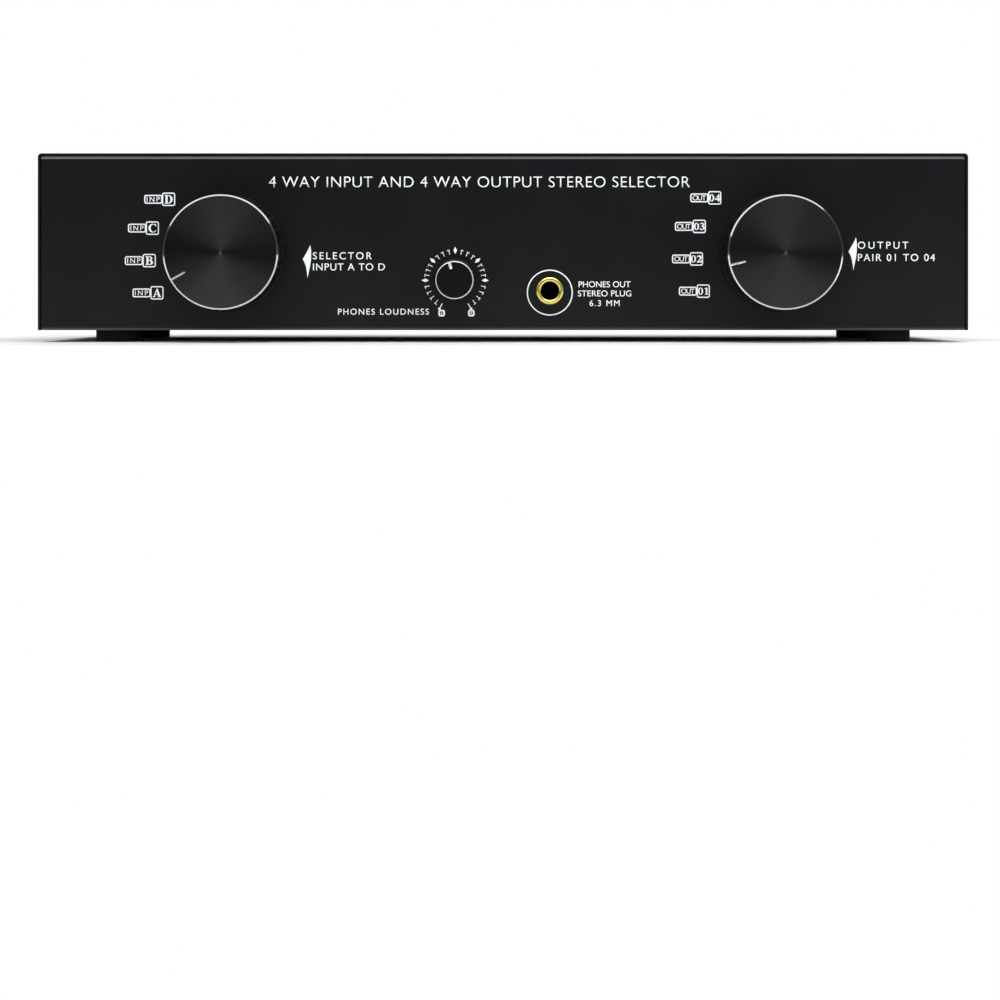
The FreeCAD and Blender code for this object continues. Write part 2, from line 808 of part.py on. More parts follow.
def terminal_board():
    """Circuit board behind the blocks that joins the post tails to the switch wires."""
    body = new_body("terminal_board")
    half = size.board_width / 2
    plate = new_sketch(body, "XZ_Plane", size.board_gap)
    rectangle(plate, -half, half, size.board_foot, size.board_top)
    pad(body, plate, size.board_sheet)
    tail_hole = new_sketch(body, "XZ_Plane", size.board_gap)
    circle(tail_hole, first_post, size.post_low_row, size.tail_radius + size.tail_slip)
    first_hole = pocket(body, tail_hole, size.board_sheet * 2, back=True)
    grid(body, [first_hole], POST_COLUMNS, size.post_pitch, 2, size.post_row_gap)
    wire_holes = new_sketch(body, "XZ_Plane", size.board_gap)
    for side in (-1, 1):
        for wafer in (0, 1):
            for angle in lug_angles(wafer):
                way = round_place(angle)
                circle(wire_holes, size.selector_across * side + size.lug_eye * way.x,
                       size.selector_height + size.lug_eye * way.z, size.bus_wire_radius + size.turned_slip)
    for number in range(4):
        circle(wire_holes, size.phones_wire_pitch * (number - 1.5),
               size.phones_board_top + size.phones_wire_rise, size.bus_wire_radius + size.turned_slip)
    pocket(body, wire_holes, size.board_sheet * 2, back=True)
    place(body, 0, rear_face, size.foot_height)
    nodes.append(body)


def switch_frames():
    """Two die-cast switch housings with threaded bushings that pass through the front panel."""
    body = new_body("switch_frames")
    half = size.frame_side / 2
    plate = new_sketch(body, "XZ_Plane", -size.tray_sheet)
    rectangle(plate, -half, half, -half, half)
    features = [pad(body, plate, size.frame_depth, back=True)]
    bushing = new_sketch(body, "XZ_Plane", -size.tray_sheet)
    circle(bushing, 0, 0, size.bushing_radius)
    features.append(pad(body, bushing, size.tray_sheet + size.bushing_reach))
    bore = new_sketch(body, "XZ_Plane", size.bushing_reach)
    circle(bore, 0, 0, size.shaft_radius + size.turned_slip)
    features.append(pocket(body, bore, size.bushing_reach + frame_back))
    screw_holes = new_sketch(body, "XZ_Plane", -frame_back)
    for level in (-1, 1):
        circle(screw_holes, 0, size.stack_screw_rise * level, size.stack_screw_radius + size.turned_slip)
    features.append(pocket(body, screw_holes, size.stack_screw_grip + size.end_room, back=True))
    row(body, features, 2, size.selector_across * 2)
    corners = edges_along(body.Shape, Vector(0, 1, 0), lambda at: abs(abs(at.z) - half.value) < NEAR)
    round_edges(body, corners, size.frame_corner)
    place(body, -size.selector_across, front_face, size.foot_height + size.selector_height)
    nodes.append(body)


def switch_wafers():
    """Four insulating wafers, two behind each housing, spaced by moulded bosses."""
    wafer = new_body("wafer")
    disc = new_sketch(wafer, "XZ_Plane", -size.wafer_boss_length)
    circle(disc, 0, 0, size.wafer_radius)
    pad(wafer, disc, size.wafer_thick, back=True)
    bosses = new_sketch(wafer, "XZ_Plane")
    for level in (-1, 1):
        circle(bosses, 0, size.stack_screw_rise * level, size.wafer_boss_radius)
    pad(wafer, bosses, size.wafer_boss_length, back=True)
    holes = new_sketch(wafer, "XZ_Plane")
    circle(holes, 0, 0, size.wafer_eye)
    for level in (-1, 1):
        circle(holes, 0, size.stack_screw_rise * level, size.stack_screw_radius + size.panel_slip)
    pocket(wafer, holes, wafer_pitch)
    copies = []
    for side in (-1, 1):
        for back in (frame_back, wafer_back):
            copies.append(copy_of(wafer, f"wafer_{len(copies) + 1}", size.selector_across * side,
                                  front_face + back, size.foot_height + size.selector_height))
    nodes.append(group_of("switch_wafers", copies))


def switch_lugs():
    """Forty contact lugs riveted to the backs of the wafers."""
    lug = new_body("lug")
    strip = new_sketch(lug, "XZ_Plane")
    rectangle(strip, size.lug_inner, size.lug_outer, -size.lug_width / 2, size.lug_width / 2)
    pad(lug, strip, size.lug_thick, back=True)
    eye = new_sketch(lug, "XZ_Plane")
    circle(eye, size.lug_eye, 0, size.lug_eye_radius)
    pocket(lug, eye, size.lug_thick * 2)
    copies = []
    for side in (-1, 1):
        for wafer, back in ((0, wafer_back), (1, stack_back)):
            for angle in lug_angles(wafer):
                copies.append(copy_of(lug, f"lug_{len(copies) + 1}", size.selector_across * side,
                                      front_face + back, size.foot_height + size.selector_height,
                                      facing(angle)))
    nodes.append(group_of("switch_lugs", copies))


def switch_screws():
    """Four long screws that clamp the wafers to their housings."""
    body = new_body("switch_screws")
    head = size.case_head_radius
    tall = size.case_head_height
    reach = frame_back - size.stack_screw_grip
    shank = turn_profile(body, [
        (0, reach), (size.stack_screw_radius, reach), (size.stack_screw_radius, stack_back),
        (head, stack_back), (head, stack_back + tall / 2), (head * HEAD_TAPER, stack_back + tall),
        (0, stack_back + tall),
    ])
    recess = cross_recess(body, "XZ_Plane", -stack_back - tall, tall * RECESS_SHARE, back=True)
    row(body, [shank, recess], 2, size.stack_screw_rise * 2, "Z_Axis")
    place(body, -size.selector_across, front_face,
          size.foot_height + size.selector_height - size.stack_screw_rise)
    twin = copy_of(body, "second_screw_pair", size.selector_across * 2)
    nodes.append(group_of("switch_stack_screws", [body, twin]))


def bus_wires():
    """Straight wires from every lug to the board, and four bent ones from the phones board."""
    copies = []
    board_end = rear_face - size.board_gap + size.bus_wire_nib
    for wafer, back in ((0, wafer_back), (1, stack_back)):
        start = front_face + back - size.bus_wire_tail
        wire = doc.addObject("Part::Cylinder", f"straight_wire_{wafer + 1}")
        bind(wire, Radius=size.bus_wire_radius, Height=board_end - start)
        along = Rotation(Vector(1, 0, 0), -90)
        place(wire, 0, 0, 0, along)
        for side in (-1, 1):
            for angle in lug_angles(wafer):
                way = round_place(angle)
                copies.append(copy_of(wire, f"wire_{len(copies) + 1}",
                                      size.selector_across * side + size.lug_eye * way.x, start,
                                      size.foot_height + size.selector_height + size.lug_eye * way.z))
    bent = bent_wire(board_end)
    for number in range(4):
        copies.append(copy_of(bent, f"phones_wire_{number + 1}", size.phones_wire_pitch * (number - 1.5)))
    nodes.append(group_of("bus_wires", copies))


def bent_wire(board_end):
    """One wire that rises from the phones board and bends back to the terminal board."""
    body = new_body("bent_wire")
    start = front_face + size.phones_wire_start
    foot = size.foot_height + size.phones_board_top
    level = foot + size.phones_wire_rise
    bend = size.phones_wire_bend
    path = new_sketch(body, "YZ_Plane")
    points = [Vector(start.value, foot.value, 0), Vector(start.value, (level - bend).value, 0),
              Vector((start + bend).value, level.value, 0), Vector(board_end.value, level.value, 0)]
    riser = path.addGeometry(Part.LineSegment(points[0], points[1]))
    corner = points[2] - Vector(0, bend.value, 0)
    full_turn = Part.Circle(corner, Vector(0, 0, 1), bend.value)
    path.addGeometry(Part.ArcOfCircle(full_turn, math.pi / 2, math.pi))
    runner = path.addGeometry(Part.LineSegment(points[2], points[3]))
    path.addConstraint(Sketcher.Constraint("Tangent", riser, 2, 1, 2))
    path.addConstraint(Sketcher.Constraint("Tangent", runner, 1, 1, 1))
    pin(path, riser, 1, start, foot)
    pin(path, runner, 2, board_end, level)
    profile = new_sketch(body, "XY_Plane", foot)
    circle(profile, 0, start, size.bus_wire_radius)
    pipe = body.newObject("PartDesign::AdditivePipe", "bent_wire_pipe")
    pipe.Profile = profile
    pipe.Spine = (path, ["Edge1", "Edge2", "Edge3"])
    body.Tip = pipe
    doc.recompute()
    return body


def panel_nuts():
    """Hexagon nuts in front of the panel: two for the selectors and one for the volume control."""
    members = []
    height = size.foot_height + size.selector_height
    selector_nut = hex_nut("selector_nut", size.nut_flats, size.nut_thick,
                           size.bushing_radius + size.turned_slip)
    for number, side in enumerate((-1, 1), start=1):
        members.append(copy_of(selector_nut, f"selector_nut_{number}", size.selector_across * side,
                               front_face, height))
    pot_nut = hex_nut("pot_nut", size.pot_nut_flats, size.pot_nut_thick,
                      size.pot_bushing_radius + size.turned_slip)
    members.append(copy_of(pot_nut, "volume_nut", size.volume_across, front_face,
                           size.foot_height + size.volume_height))
    nodes.append(group_of("panel_nuts", members))


def hex_nut(name, flats, thick, hole):
    """A hexagon nut that stands on the panel, its thread left as a plain bore."""
    body = new_body(name)
    plan = new_sketch(body, "XZ_Plane")
    corner = flats / math.sqrt(3)
    outline(plan, [
        (corner, 0), (corner / 2, flats / 2), (-corner / 2, flats / 2),
        (-corner, 0), (-corner / 2, -flats / 2), (corner / 2, -flats / 2),
    ])
    pad(body, plan, thick)
    bore = new_sketch(body, "XZ_Plane")
    circle(bore, 0, 0, hole)
    pocket(body, bore, thick * 2, back=True)
    return body


def selector_shaft_master():
    """Steel shaft with a thrust collar, a flat for the knob and a flat for the rotors."""
    body = new_body("selector_shaft")
    radius = size.shaft_radius
    collar = frame_back + size.slip_gap
    turn_profile(body, [
        (0, -size.shaft_reach), (radius - size.small_edge, -size.shaft_reach),
        (radius, size.small_edge - size.shaft_reach),
        (radius, collar), (size.shaft_collar_radius, collar),
        (size.shaft_collar_radius, collar + size.shaft_collar_length),
        (radius, collar + size.shaft_collar_length), (radius, size.shaft_tail), (0, size.shaft_tail),
    ])
    front_flat = new_sketch(body, "XZ_Plane", size.shaft_reach + BEYOND)
    rectangle(front_flat, -radius, radius, size.shaft_flat, radius + BEYOND)
    well_floor = size.knob_gap + size.knob_well_depth
    pocket(body, front_flat, size.shaft_reach + BEYOND - well_floor)
    rear_flat = new_sketch(body, "XZ_Plane", -size.shaft_tail)
    rectangle(rear_flat, -radius, radius, size.shaft_flat, radius + BEYOND)
    pocket(body, rear_flat, size.shaft_tail - wafer_back + size.wafer_thick + size.end_room, back=True)
    return body


def rotor_master():
    """Two rotor discs whose contact fingers sweep past the inner ends of the lugs."""
    body = new_body("rotor_pair")
    disc = new_sketch(body, "XZ_Plane", size.wafer_thick - wafer_back)
    circle(disc, 0, 0, size.rotor_radius)
    features = [pad(body, disc, size.wafer_thick, back=True)]
    finger = new_sketch(body, "XZ_Plane", -wafer_back)
    rectangle(finger, -size.finger_reach, size.finger_reach, -size.finger_width / 2, size.finger_width / 2)
    features.append(pad(body, finger, size.finger_thick, back=True))
    bore = new_sketch(body, "XZ_Plane", size.wafer_thick - wafer_back)
    d_hole(bore, size.shaft_radius + size.grip_slip, size.shaft_flat + size.grip_slip)
    features.append(pocket(body, bore, size.wafer_thick + size.finger_thick))
    row(body, features, 2, wafer_pitch, "Y_Axis")
    return body


def d_hole(sketch, radius, flat):
    """Draw a round hole with one flat side above its centre."""
    reach = math.sqrt(value_of(radius) ** 2 - value_of(flat) ** 2)
    start = Vector(reach, value_of(flat), 0)
    end = Vector(-reach, value_of(flat), 0)
    bottom = Vector(0, -value_of(radius), 0)
    arc = sketch.addGeometry(Part.Arc(end, bottom, start))
    chord = sketch.addGeometry(Part.LineSegment(start, end))
    sketch.addConstraint(Sketcher.Constraint("Coincident", arc, 2, chord, 1))
    sketch.addConstraint(Sketcher.Constraint("Coincident", arc, 1, chord, 2))
    sketch.addConstraint(Sketcher.Constraint("Coincident", arc, 3, -1, 1))
    sketch.addConstraint(Sketcher.Constraint("Horizontal", chord))
    number = sketch.addConstraint(Sketcher.Constraint("Radius", arc, value_of(radius)))
    sketch.setExpression(f"Constraints[{number}]", text_of(radius))
    number = sketch.addConstraint(Sketcher.Constraint("DistanceY", -1, 1, chord, 1, value_of(flat)))
    sketch.setExpression(f"Constraints[{number}]", text_of(flat))


def selector_knob_master():
    """Turned aluminium knob: skirt, fluted grip, plain rim, cut chamfer and milled pointer."""
    body = new_body("selector_knob")
    back = -size.knob_gap
    skirt = back - size.knob_skirt_length
    radius = size.knob_radius
    chamfer = size.knob_chamfer
    well = back - size.knob_well_depth
    turn_profile(body, [
        (size.knob_well_radius, back), (size.knob_skirt_radius, back),
        (size.knob_skirt_radius, skirt + size.small_edge),
        (size.knob_skirt_radius - size.small_edge, skirt), (radius, skirt), (radius, knob_face + chamfer),
        (radius - chamfer, knob_face), (size.dimple_radius, knob_face), (0, knob_face + size.dimple_depth),
        (0, well), (size.knob_well_radius, well),
    ])
    bore = new_sketch(body, "XZ_Plane", -well)
    d_hole(bore, size.shaft_radius + size.grip_slip, size.shaft_flat + size.grip_slip)
    pocket(body, bore, size.knob_bore_end + well, back=True)
    flute = new_sketch(body, "XZ_Plane", -skirt)
    circle(flute, radius + size.flute_radius - size.flute_depth, 0, size.flute_radius)
    grip_length = skirt - knob_face - size.knob_rim_length
    cut = pocket(body, flute, grip_length, back=True)
    ring(body, [cut], KNOB_FLUTES)
    pointer = new_sketch(body, "XZ_Plane", -knob_face)
    rectangle(pointer, radius - size.pointer_length, radius + BEYOND,
              -size.pointer_width / 2, size.pointer_width / 2)
    pocket(body, pointer, size.pointer_depth)
    return body


def selectors():
    """Knob, shaft and rotors of the input and the output selector."""
    knob = selector_knob_master()
    shaft = selector_shaft_master()
    rotors = rotor_master()
    height = size.foot_height + size.selector_height
    for name, side, pointer in (("input", -1, size.input_pointer), ("output", 1, size.output_pointer)):
        across = size.selector_across * side
        turn = facing(pointer)
        nodes.append(copy_of(knob, f"{name}_knob", across, front_face, height, turn))
        nodes.append(copy_of(shaft, f"{name}_shaft", across, front_face, height, turn))
        nodes.append(copy_of(rotors, f"{name}_rotors", across, front_face, height, turn))


# Volume control

def volume_pot():
    """Case of the volume potentiometer with its foot, bushing and bore."""
    body = new_body("volume_pot")
    half = size.pot_width / 2
    foot = size.phones_board_top - size.volume_height
    plate = new_sketch(body, "XZ_Plane", -size.tray_sheet)
    rectangle(plate, -half, half, foot, size.pot_above)
    pad(body, plate, size.pot_depth, back=True)
    bushing = new_sketch(body, "XZ_Plane", -size.tray_sheet)
    circle(bushing, 0, 0, size.pot_bushing_radius)
    pad(body, bushing, size.tray_sheet + size.pot_bushing_reach)
    bore = new_sketch(body, "XZ_Plane", size.pot_bushing_reach)
    circle(bore, 0, 0, size.pot_shaft_radius + size.turned_slip)
    pocket(body, bore, size.pot_bushing_reach + size.pot_shaft_tail + size.end_room)
    place(body, size.volume_across, front_face, size.foot_height + size.volume_height)
    nodes.append(body)


def volume_shaft():
    """Shaft of the volume control with a flat for its knob."""
    body = new_body("volume_shaft")
    radius = size.pot_shaft_radius
    turn_profile(body, [
        (0, -size.pot_shaft_reach), (radius - size.small_edge, -size.pot_shaft_reach),
        (radius, size.small_edge - size.pot_shaft_reach), (radius, size.pot_shaft_tail),
        (0, size.pot_shaft_tail),
    ])
    flat = new_sketch(body, "XZ_Plane", size.pot_shaft_reach + BEYOND)
    rectangle(flat, -radius, radius, size.pot_shaft_flat, radius + BEYOND)
    pocket(body, flat, size.pot_shaft_reach + BEYOND - size.pot_bushing_reach)
    place(body, size.volume_across, front_face, size.foot_height + size.volume_height,
          facing(size.volume_pointer))
    nodes.append(body)


def volume_knob():
    """Small turned knob with a skirt that hides the nut and a milled mark at the rim."""
    body = new_body("volume_knob")
    back = -size.volume_gap
    skirt = back - size.volume_skirt_length
    face = -size.volume_reach
    rim = size.volume_face_radius
    nut_well = size.pot_nut_flats / 2 + size.volume_nut_room
    well_floor = -size.pot_nut_thick - size.slip_gap
    bushing_well = size.pot_bushing_radius + size.slip_gap
    bushing_floor = -size.pot_bushing_reach - size.end_room
    turn_profile(body, [
        (nut_well, back), (size.volume_skirt_radius, back),
        (size.volume_skirt_radius, skirt + size.small_edge),
        (size.volume_skirt_radius - size.small_edge, skirt), (size.volume_body_radius, skirt),
        (rim, face + size.volume_chamfer), (rim - size.volume_chamfer, face), (0, face),
        (0, bushing_floor), (bushing_well, bushing_floor), (bushing_well, well_floor),
        (nut_well, well_floor),
    ])
    bore = new_sketch(body, "XZ_Plane", -bushing_floor)
    d_hole(bore, size.pot_shaft_radius + size.grip_slip, size.pot_shaft_flat + size.grip_slip)
    pocket(body, bore, size.volume_bore_end + bushing_floor, back=True)
    mark = new_sketch(body, "XZ_Plane", -face)
    rectangle(mark, rim - size.volume_mark_length, rim + BEYOND,
              -size.volume_mark_width / 2, size.volume_mark_width / 2)
    pocket(body, mark, size.pointer_depth)
    place(body, size.volume_across, front_face, size.foot_height + size.volume_height,
          facing(size.volume_pointer))
    nodes.append(body)


# Phone socket and its board

def jack_sleeve():
    """Gold-plated sleeve that lines the phone socket where it passes through the panel."""
    body = new_body("jack_sleeve")
    outer = size.jack_sleeve_radius
    bore = size.jack_bore
    chamfer = size.jack_sleeve_chamfer
    front = -size.jack_sleeve_reach
    flange = size.tray_sheet + size.jack_flange_thick
    turn_profile(body, [
        (bore, front), (outer - chamfer, front), (outer, front + chamfer), (outer, size.tray_sheet),
        (size.jack_flange_radius, size.tray_sheet), (size.jack_flange_radius, flange), (outer, flange),
        (outer, size.jack_sleeve_tail), (bore, size.jack_sleeve_tail),
    ])
    place(body, size.jack_across, front_face, size.foot_height + size.jack_height)
    nodes.append(body)


def phone_jack():
    """Moulded body of the 6.35 mm phone socket."""
    body = new_body("phone_jack")
    half = size.jack_width / 2
    foot = size.phones_board_top - size.jack_height
    front = size.tray_sheet + size.jack_flange_thick
    block = new_sketch(body, "XZ_Plane", -front)
    rectangle(block, -half, half, foot, size.jack_above)
    pad(body, block, size.jack_back - front, back=True)
    seat = new_sketch(body, "XZ_Plane", -front)
    circle(seat, 0, 0, size.jack_sleeve_radius + size.turned_slip)
    pocket(body, seat, size.jack_sleeve_tail - front)
    bore = new_sketch(body, "XZ_Plane", -front)
    circle(bore, 0, 0, size.jack_bore)
    pocket(body, bore, size.jack_bore_end - front)
    place(body, size.jack_across, front_face, size.foot_height + size.jack_height)
    nodes.append(body)


def jack_contacts():
    """Three contact leaves that run over the phone socket and down its back to the board."""
    body = new_body("jack_contacts")
    thick = size.leaf_thick
    top = size.jack_above
    foot = size.phones_board_top - size.jack_height
    leaf = new_sketch(body, "YZ_Plane", -size.leaf_pitch - size.leaf_width / 2)
    outline(leaf, [
        (size.leaf_start, top), (size.jack_back, top), (size.jack_back, foot),
        (size.jack_back + thick, foot), (size.jack_back + thick, top + thick),
        (size.leaf_start, top + thick),
    ])
    strip = pad(body, leaf, size.leaf_width)
    row(body, [strip], 3, size.leaf_pitch)
    place(body, size.jack_across, front_face, size.foot_height + size.jack_height)
    nodes.append(body)


def phones_board():
    """Small circuit board that carries the volume control and the phone socket."""
    board = doc.addObject("Part::Box", "phones_board")
    bind(board, Length=size.phones_board_half * 2, Width=size.phones_board_back - size.phones_board_front,
         Height=size.board_sheet)
    place(board, -size.phones_board_half, front_face + size.phones_board_front,
          size.foot_height + size.phones_board_top - size.board_sheet)
    nodes.append(board)


def resistors():
    """Four load resistors that stand on the phones board."""
    barrel = doc.addObject("Part::Cylinder", "resistor_barrel")
    bind(barrel, Radius=size.resistor_radius, Height=size.resistor_length)
    place(barrel, -size.resistor_length / 2, 0, size.resistor_lift, Rotation(Vector(0, 1, 0), 90))
    members = [barrel]
    for side in (-1, 1):
        leg = doc.addObject("Part::Cylinder", "resistor_leg")
        bind(leg, Radius=size.resistor_pin, Height=size.resistor_lift)
        place(leg, (size.resistor_length / 2 - size.resistor_pin * 2) * side)
        members.append(leg)
    resistor = doc.addObject("Part::MultiFuse", "resistor")
    resistor.Shapes = members
    copies = []
    for number in range(4):
        along = front_face + size.phones_board_front + size.resistor_pitch * (number + 3)
        copies.append(copy_of(resistor, f"resistor_{number + 1}", size.volume_across, along,
                              size.foot_height + size.phones_board_top))
    nodes.append(group_of("resistors", copies))


def build():
    """Build every sub-part in the order in which the object is put together."""
    chassis_tray()
    top_cover()
    feet()
    case_screws()
    terminal_blocks()
    terminal_stems()
    terminal_caps()
    terminal_screws()
    terminal_board()
    switch_frames()
    switch_wafers()
    switch_lugs()
    switch_screws()
    selectors()
    panel_nuts()
    volume_pot()
    volume_shaft()
    volume_knob()
    jack_sleeve()
    phone_jack()
    jack_contacts()
    phones_board()
    resistors()
    bus_wires()
    doc.recompute()


def check_document():
    """Stop if any object failed, or if a sub-part's shape is empty or broken."""
    for item in doc.Objects:
        if "Invalid" in item.State or "Error" in item.State:
            raise RuntimeError(f"{item.Name} failed: {item.State}")
    for piece in nodes:
        if piece.Shape.isNull() or not piece.Shape.isValid() or not piece.Shape.Solids:
            raise RuntimeError(f"{piece.Label} has no sound shape")


def export():
    """Write one STEP file for every sub-part."""
    os.makedirs("parts", exist_ok=True)
    for piece in nodes:
        solids = piece.Shape.Solids
        shape = solids[0] if len(solids) == 1 else Part.makeCompound(solids)
        shape.exportStep(f"parts/{piece.Label}.step")
        print(f"{piece.Label}: {len(solids)} solids, {shape.Volume:.1f} mm3")
    print(len(nodes), "sub-parts")


build()
check_document()
export()
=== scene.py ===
"""Speaker selector switch: finished pieces, finishes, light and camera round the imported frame.

Sizes are in millimetres in the row frame of the CAD model and become metres when a piece is made.
The front panel faces -Y, Z points up and X runs to the right as seen from the front. FRONT and REAR are
the faces of the two panels. WELD joins doubled vertices, HAIR keeps a test clear of an edge, and WAVE_PHASE
is the phase that Blender's wave texture runs through in one unit of its scale.
"""

import logging
import math
from dataclasses import dataclass, field
from enum import Enum
from typing import Callable, Sequence

import bpy
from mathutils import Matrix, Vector


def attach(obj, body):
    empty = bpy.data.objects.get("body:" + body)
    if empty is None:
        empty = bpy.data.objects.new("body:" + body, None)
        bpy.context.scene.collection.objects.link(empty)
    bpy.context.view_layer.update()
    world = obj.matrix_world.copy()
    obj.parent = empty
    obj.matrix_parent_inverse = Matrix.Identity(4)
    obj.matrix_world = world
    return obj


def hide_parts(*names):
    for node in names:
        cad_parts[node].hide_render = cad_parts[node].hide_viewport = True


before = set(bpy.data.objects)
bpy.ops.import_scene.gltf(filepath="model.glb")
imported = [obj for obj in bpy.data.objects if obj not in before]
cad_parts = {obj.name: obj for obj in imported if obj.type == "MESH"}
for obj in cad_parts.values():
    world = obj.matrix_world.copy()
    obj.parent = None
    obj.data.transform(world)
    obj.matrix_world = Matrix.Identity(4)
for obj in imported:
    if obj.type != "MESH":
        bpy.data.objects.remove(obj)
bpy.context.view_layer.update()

LOG = logging.getLogger("speaker_selector")
MM = 0.001
CASE = "case"
FRONT = -61.45
REAR = 55.95
CASE_MIDDLE = -2.75
WELD = 0.002
INK_WELD = 0.001
HAIR = 0.02
WAVE_PHASE = 20

Ring = tuple[float, float]
Point = tuple[float, float]
Place = tuple[float, float, float]
Piece = bpy.types.Object


class Axis(Enum):
    """Direction that a turned piece is turned about."""

    Y = 1
    Z = 2


class Side(Enum):
    """Panel that a print is on, with the way that its words run and its outward way along Y."""

    FRONT = (1, -1)
    REAR = (-1, 1)


class Grain(Enum):
    """Fine surface pattern of a finish."""

    PEEL = "orange peel of a baked powder"
    TURNED = "fine rings left by a lathe"
    MOULDED = "soft unevenness of a moulding"
    SPECKLED = "fine grain of a casting or a cement"
    WOVEN = "glass cloth under lacquer"
    INK = "dry screen-printed ink"


# Bench work: small steps in edit mode


def release() -> None:
    """Leave edit mode and deselect everything."""
    if bpy.context.mode != "OBJECT":
        bpy.ops.object.mode_set(mode="OBJECT")
    bpy.ops.object.select_all(action="DESELECT")


def take(*pieces: Piece) -> None:
    """Select only these pieces, the first one active."""
    release()
    for piece in pieces:
        piece.select_set(True)
    bpy.context.view_layer.objects.active = pieces[0]


def edit_all(piece: Piece) -> None:
    """Open a piece in edit mode with all of its mesh selected."""
    take(piece)
    bpy.ops.object.mode_set(mode="EDIT")
    bpy.ops.mesh.select_all(action="SELECT")


def settle(piece: Piece) -> Piece:
    """Put a piece's place into its mesh, so that its object stands at the origin."""
    take(piece)
    bpy.ops.object.transform_apply(location=True, rotation=True, scale=True)
    return piece


def tidy_mesh(piece: Piece, smooth_angle: float = 30.0) -> Piece:
    """Merge doubles, point the faces outwards, and smooth the gentle angles."""
    edit_all(piece)
    bpy.ops.mesh.remove_doubles(threshold=WELD * MM)
    bpy.ops.mesh.normals_make_consistent(inside=False)
    bpy.ops.object.mode_set(mode="OBJECT")
    bpy.ops.object.shade_smooth_by_angle(angle=math.radians(smooth_angle))
    return piece


def pick(piece: Piece, wanted: Callable[[Vector], bool]) -> int:
    """Select the vertices of a settled piece whose place in mm passes a test.

    Args:
        piece: Piece in object mode, at the origin.
        wanted: Test of a vertex place in millimetres.

    Returns:
        The number of vertices selected.
    """
    edit_all(piece)
    bpy.ops.mesh.select_all(action="DESELECT")
    bpy.ops.mesh.select_mode(type="VERT")
    bpy.ops.object.mode_set(mode="OBJECT")
    count = 0
    for vertex in piece.data.vertices:
        vertex.select = wanted(vertex.co / MM)
        count += vertex.select
    bpy.ops.object.mode_set(mode="EDIT")
    return count


def turned(name: str, centre: Place, profile: Sequence[Ring], segments: int,
           axis: Axis = Axis.Y, bored: bool = False) -> Piece:
    """Turn a round piece as on a lathe: a disc is extruded and scaled ring by ring.

    Args:
        name: Name of the piece.
        centre: Zero point of the turning axis, in mm.
        profile: Radius of each ring and its place along the axis, in mm, in order.
        segments: Number of corners of each ring.
        axis: Direction of the turning axis.
        bored: True where the profile runs round a through hole and back to its start.

    Returns:
        The settled piece with smooth shading.
    """
    along_axis = Vector((0, axis is Axis.Y, axis is Axis.Z))
    across_axis = Vector((1, 1, 1)) - along_axis
    middle = Vector(centre) * MM
    radius, along = profile[0]
    release()
    bpy.ops.mesh.primitive_circle_add(
        vertices=segments, radius=radius * MM, fill_type="NOTHING" if bored else "NGON",
        location=middle + along_axis * along * MM,
        rotation=(math.pi / 2 if axis is Axis.Y else 0, 0, 0))
    piece = bpy.context.object
    piece.name = name
    bpy.ops.object.mode_set(mode="EDIT")
    bpy.ops.mesh.select_all(action="SELECT")
    for next_radius, next_along in [*profile[1:], *(profile[:1] if bored else ())]:
        step = along_axis * (next_along - along) * MM
        bpy.ops.mesh.extrude_region_move(TRANSFORM_OT_translate={"value": step})
        growth = next_radius / radius
        bpy.ops.transform.resize(value=across_axis * growth + along_axis, center_override=middle)
        radius, along = next_radius, next_along
    return tidy_mesh(settle(piece))


def as_mesh(shape: Piece) -> Piece:
    """Turn a curve or a text into a mesh."""
    take(shape)
    bpy.ops.object.convert(target="MESH")
    return bpy.context.object


def cut(piece: Piece, tool: Piece) -> Piece:
    """Cut a tool's shape out of a piece; the cut faces take the tool's material, if it has one."""
    take(piece)
    step = piece.modifiers.new("cut", "BOOLEAN")
    step.operation = "DIFFERENCE"
    step.solver = "EXACT"
    step.material_mode = "TRANSFER" if tool.data.materials else "INDEX"
    step.object = tool
    bpy.ops.object.modifier_apply(modifier=step.name)
    bpy.data.objects.remove(tool)
    return piece


def copied(master: Piece, name: str, shift: Place) -> Piece:
    """Copy a piece with a mesh of its own, moved by shift in mm."""
    take(master)
    bpy.ops.object.duplicate(linked=False)
    copy = bpy.context.object
    copy.name = name
    copy.location = Vector(shift) * MM
    return settle(copy)


def joined(name: str, pieces: Sequence[Piece]) -> Piece:
    """Join pieces that don't move against each other into one."""
    take(*pieces)
    if len(pieces) > 1:
        bpy.ops.object.join()
    pieces[0].name = name
    return pieces[0]


def mount(piece: Piece, body: str, slot: str, *nodes: str) -> Piece:
    """Let a piece ride on a body, in the place of CAD nodes."""
    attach(piece, body)
    if nodes:
        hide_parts(*nodes)
    LOG.info("%s rides on %s and stands for %s", piece.name, body, ", ".join(nodes) or "itself")
    return piece


# Finishes


def linear(code: str) -> tuple[float, float, float, float]:
    """Turn an sRGB hex colour into linear red, green, blue and alpha."""
    parts = [int(code[at:at + 2], 16) / 255 for at in (1, 3, 5)]
    red, green, blue = (p / 12.92 if p <= 0.04045 else ((p + 0.055) / 1.055) ** 2.4 for p in parts)
    return red, green, blue, 1.0


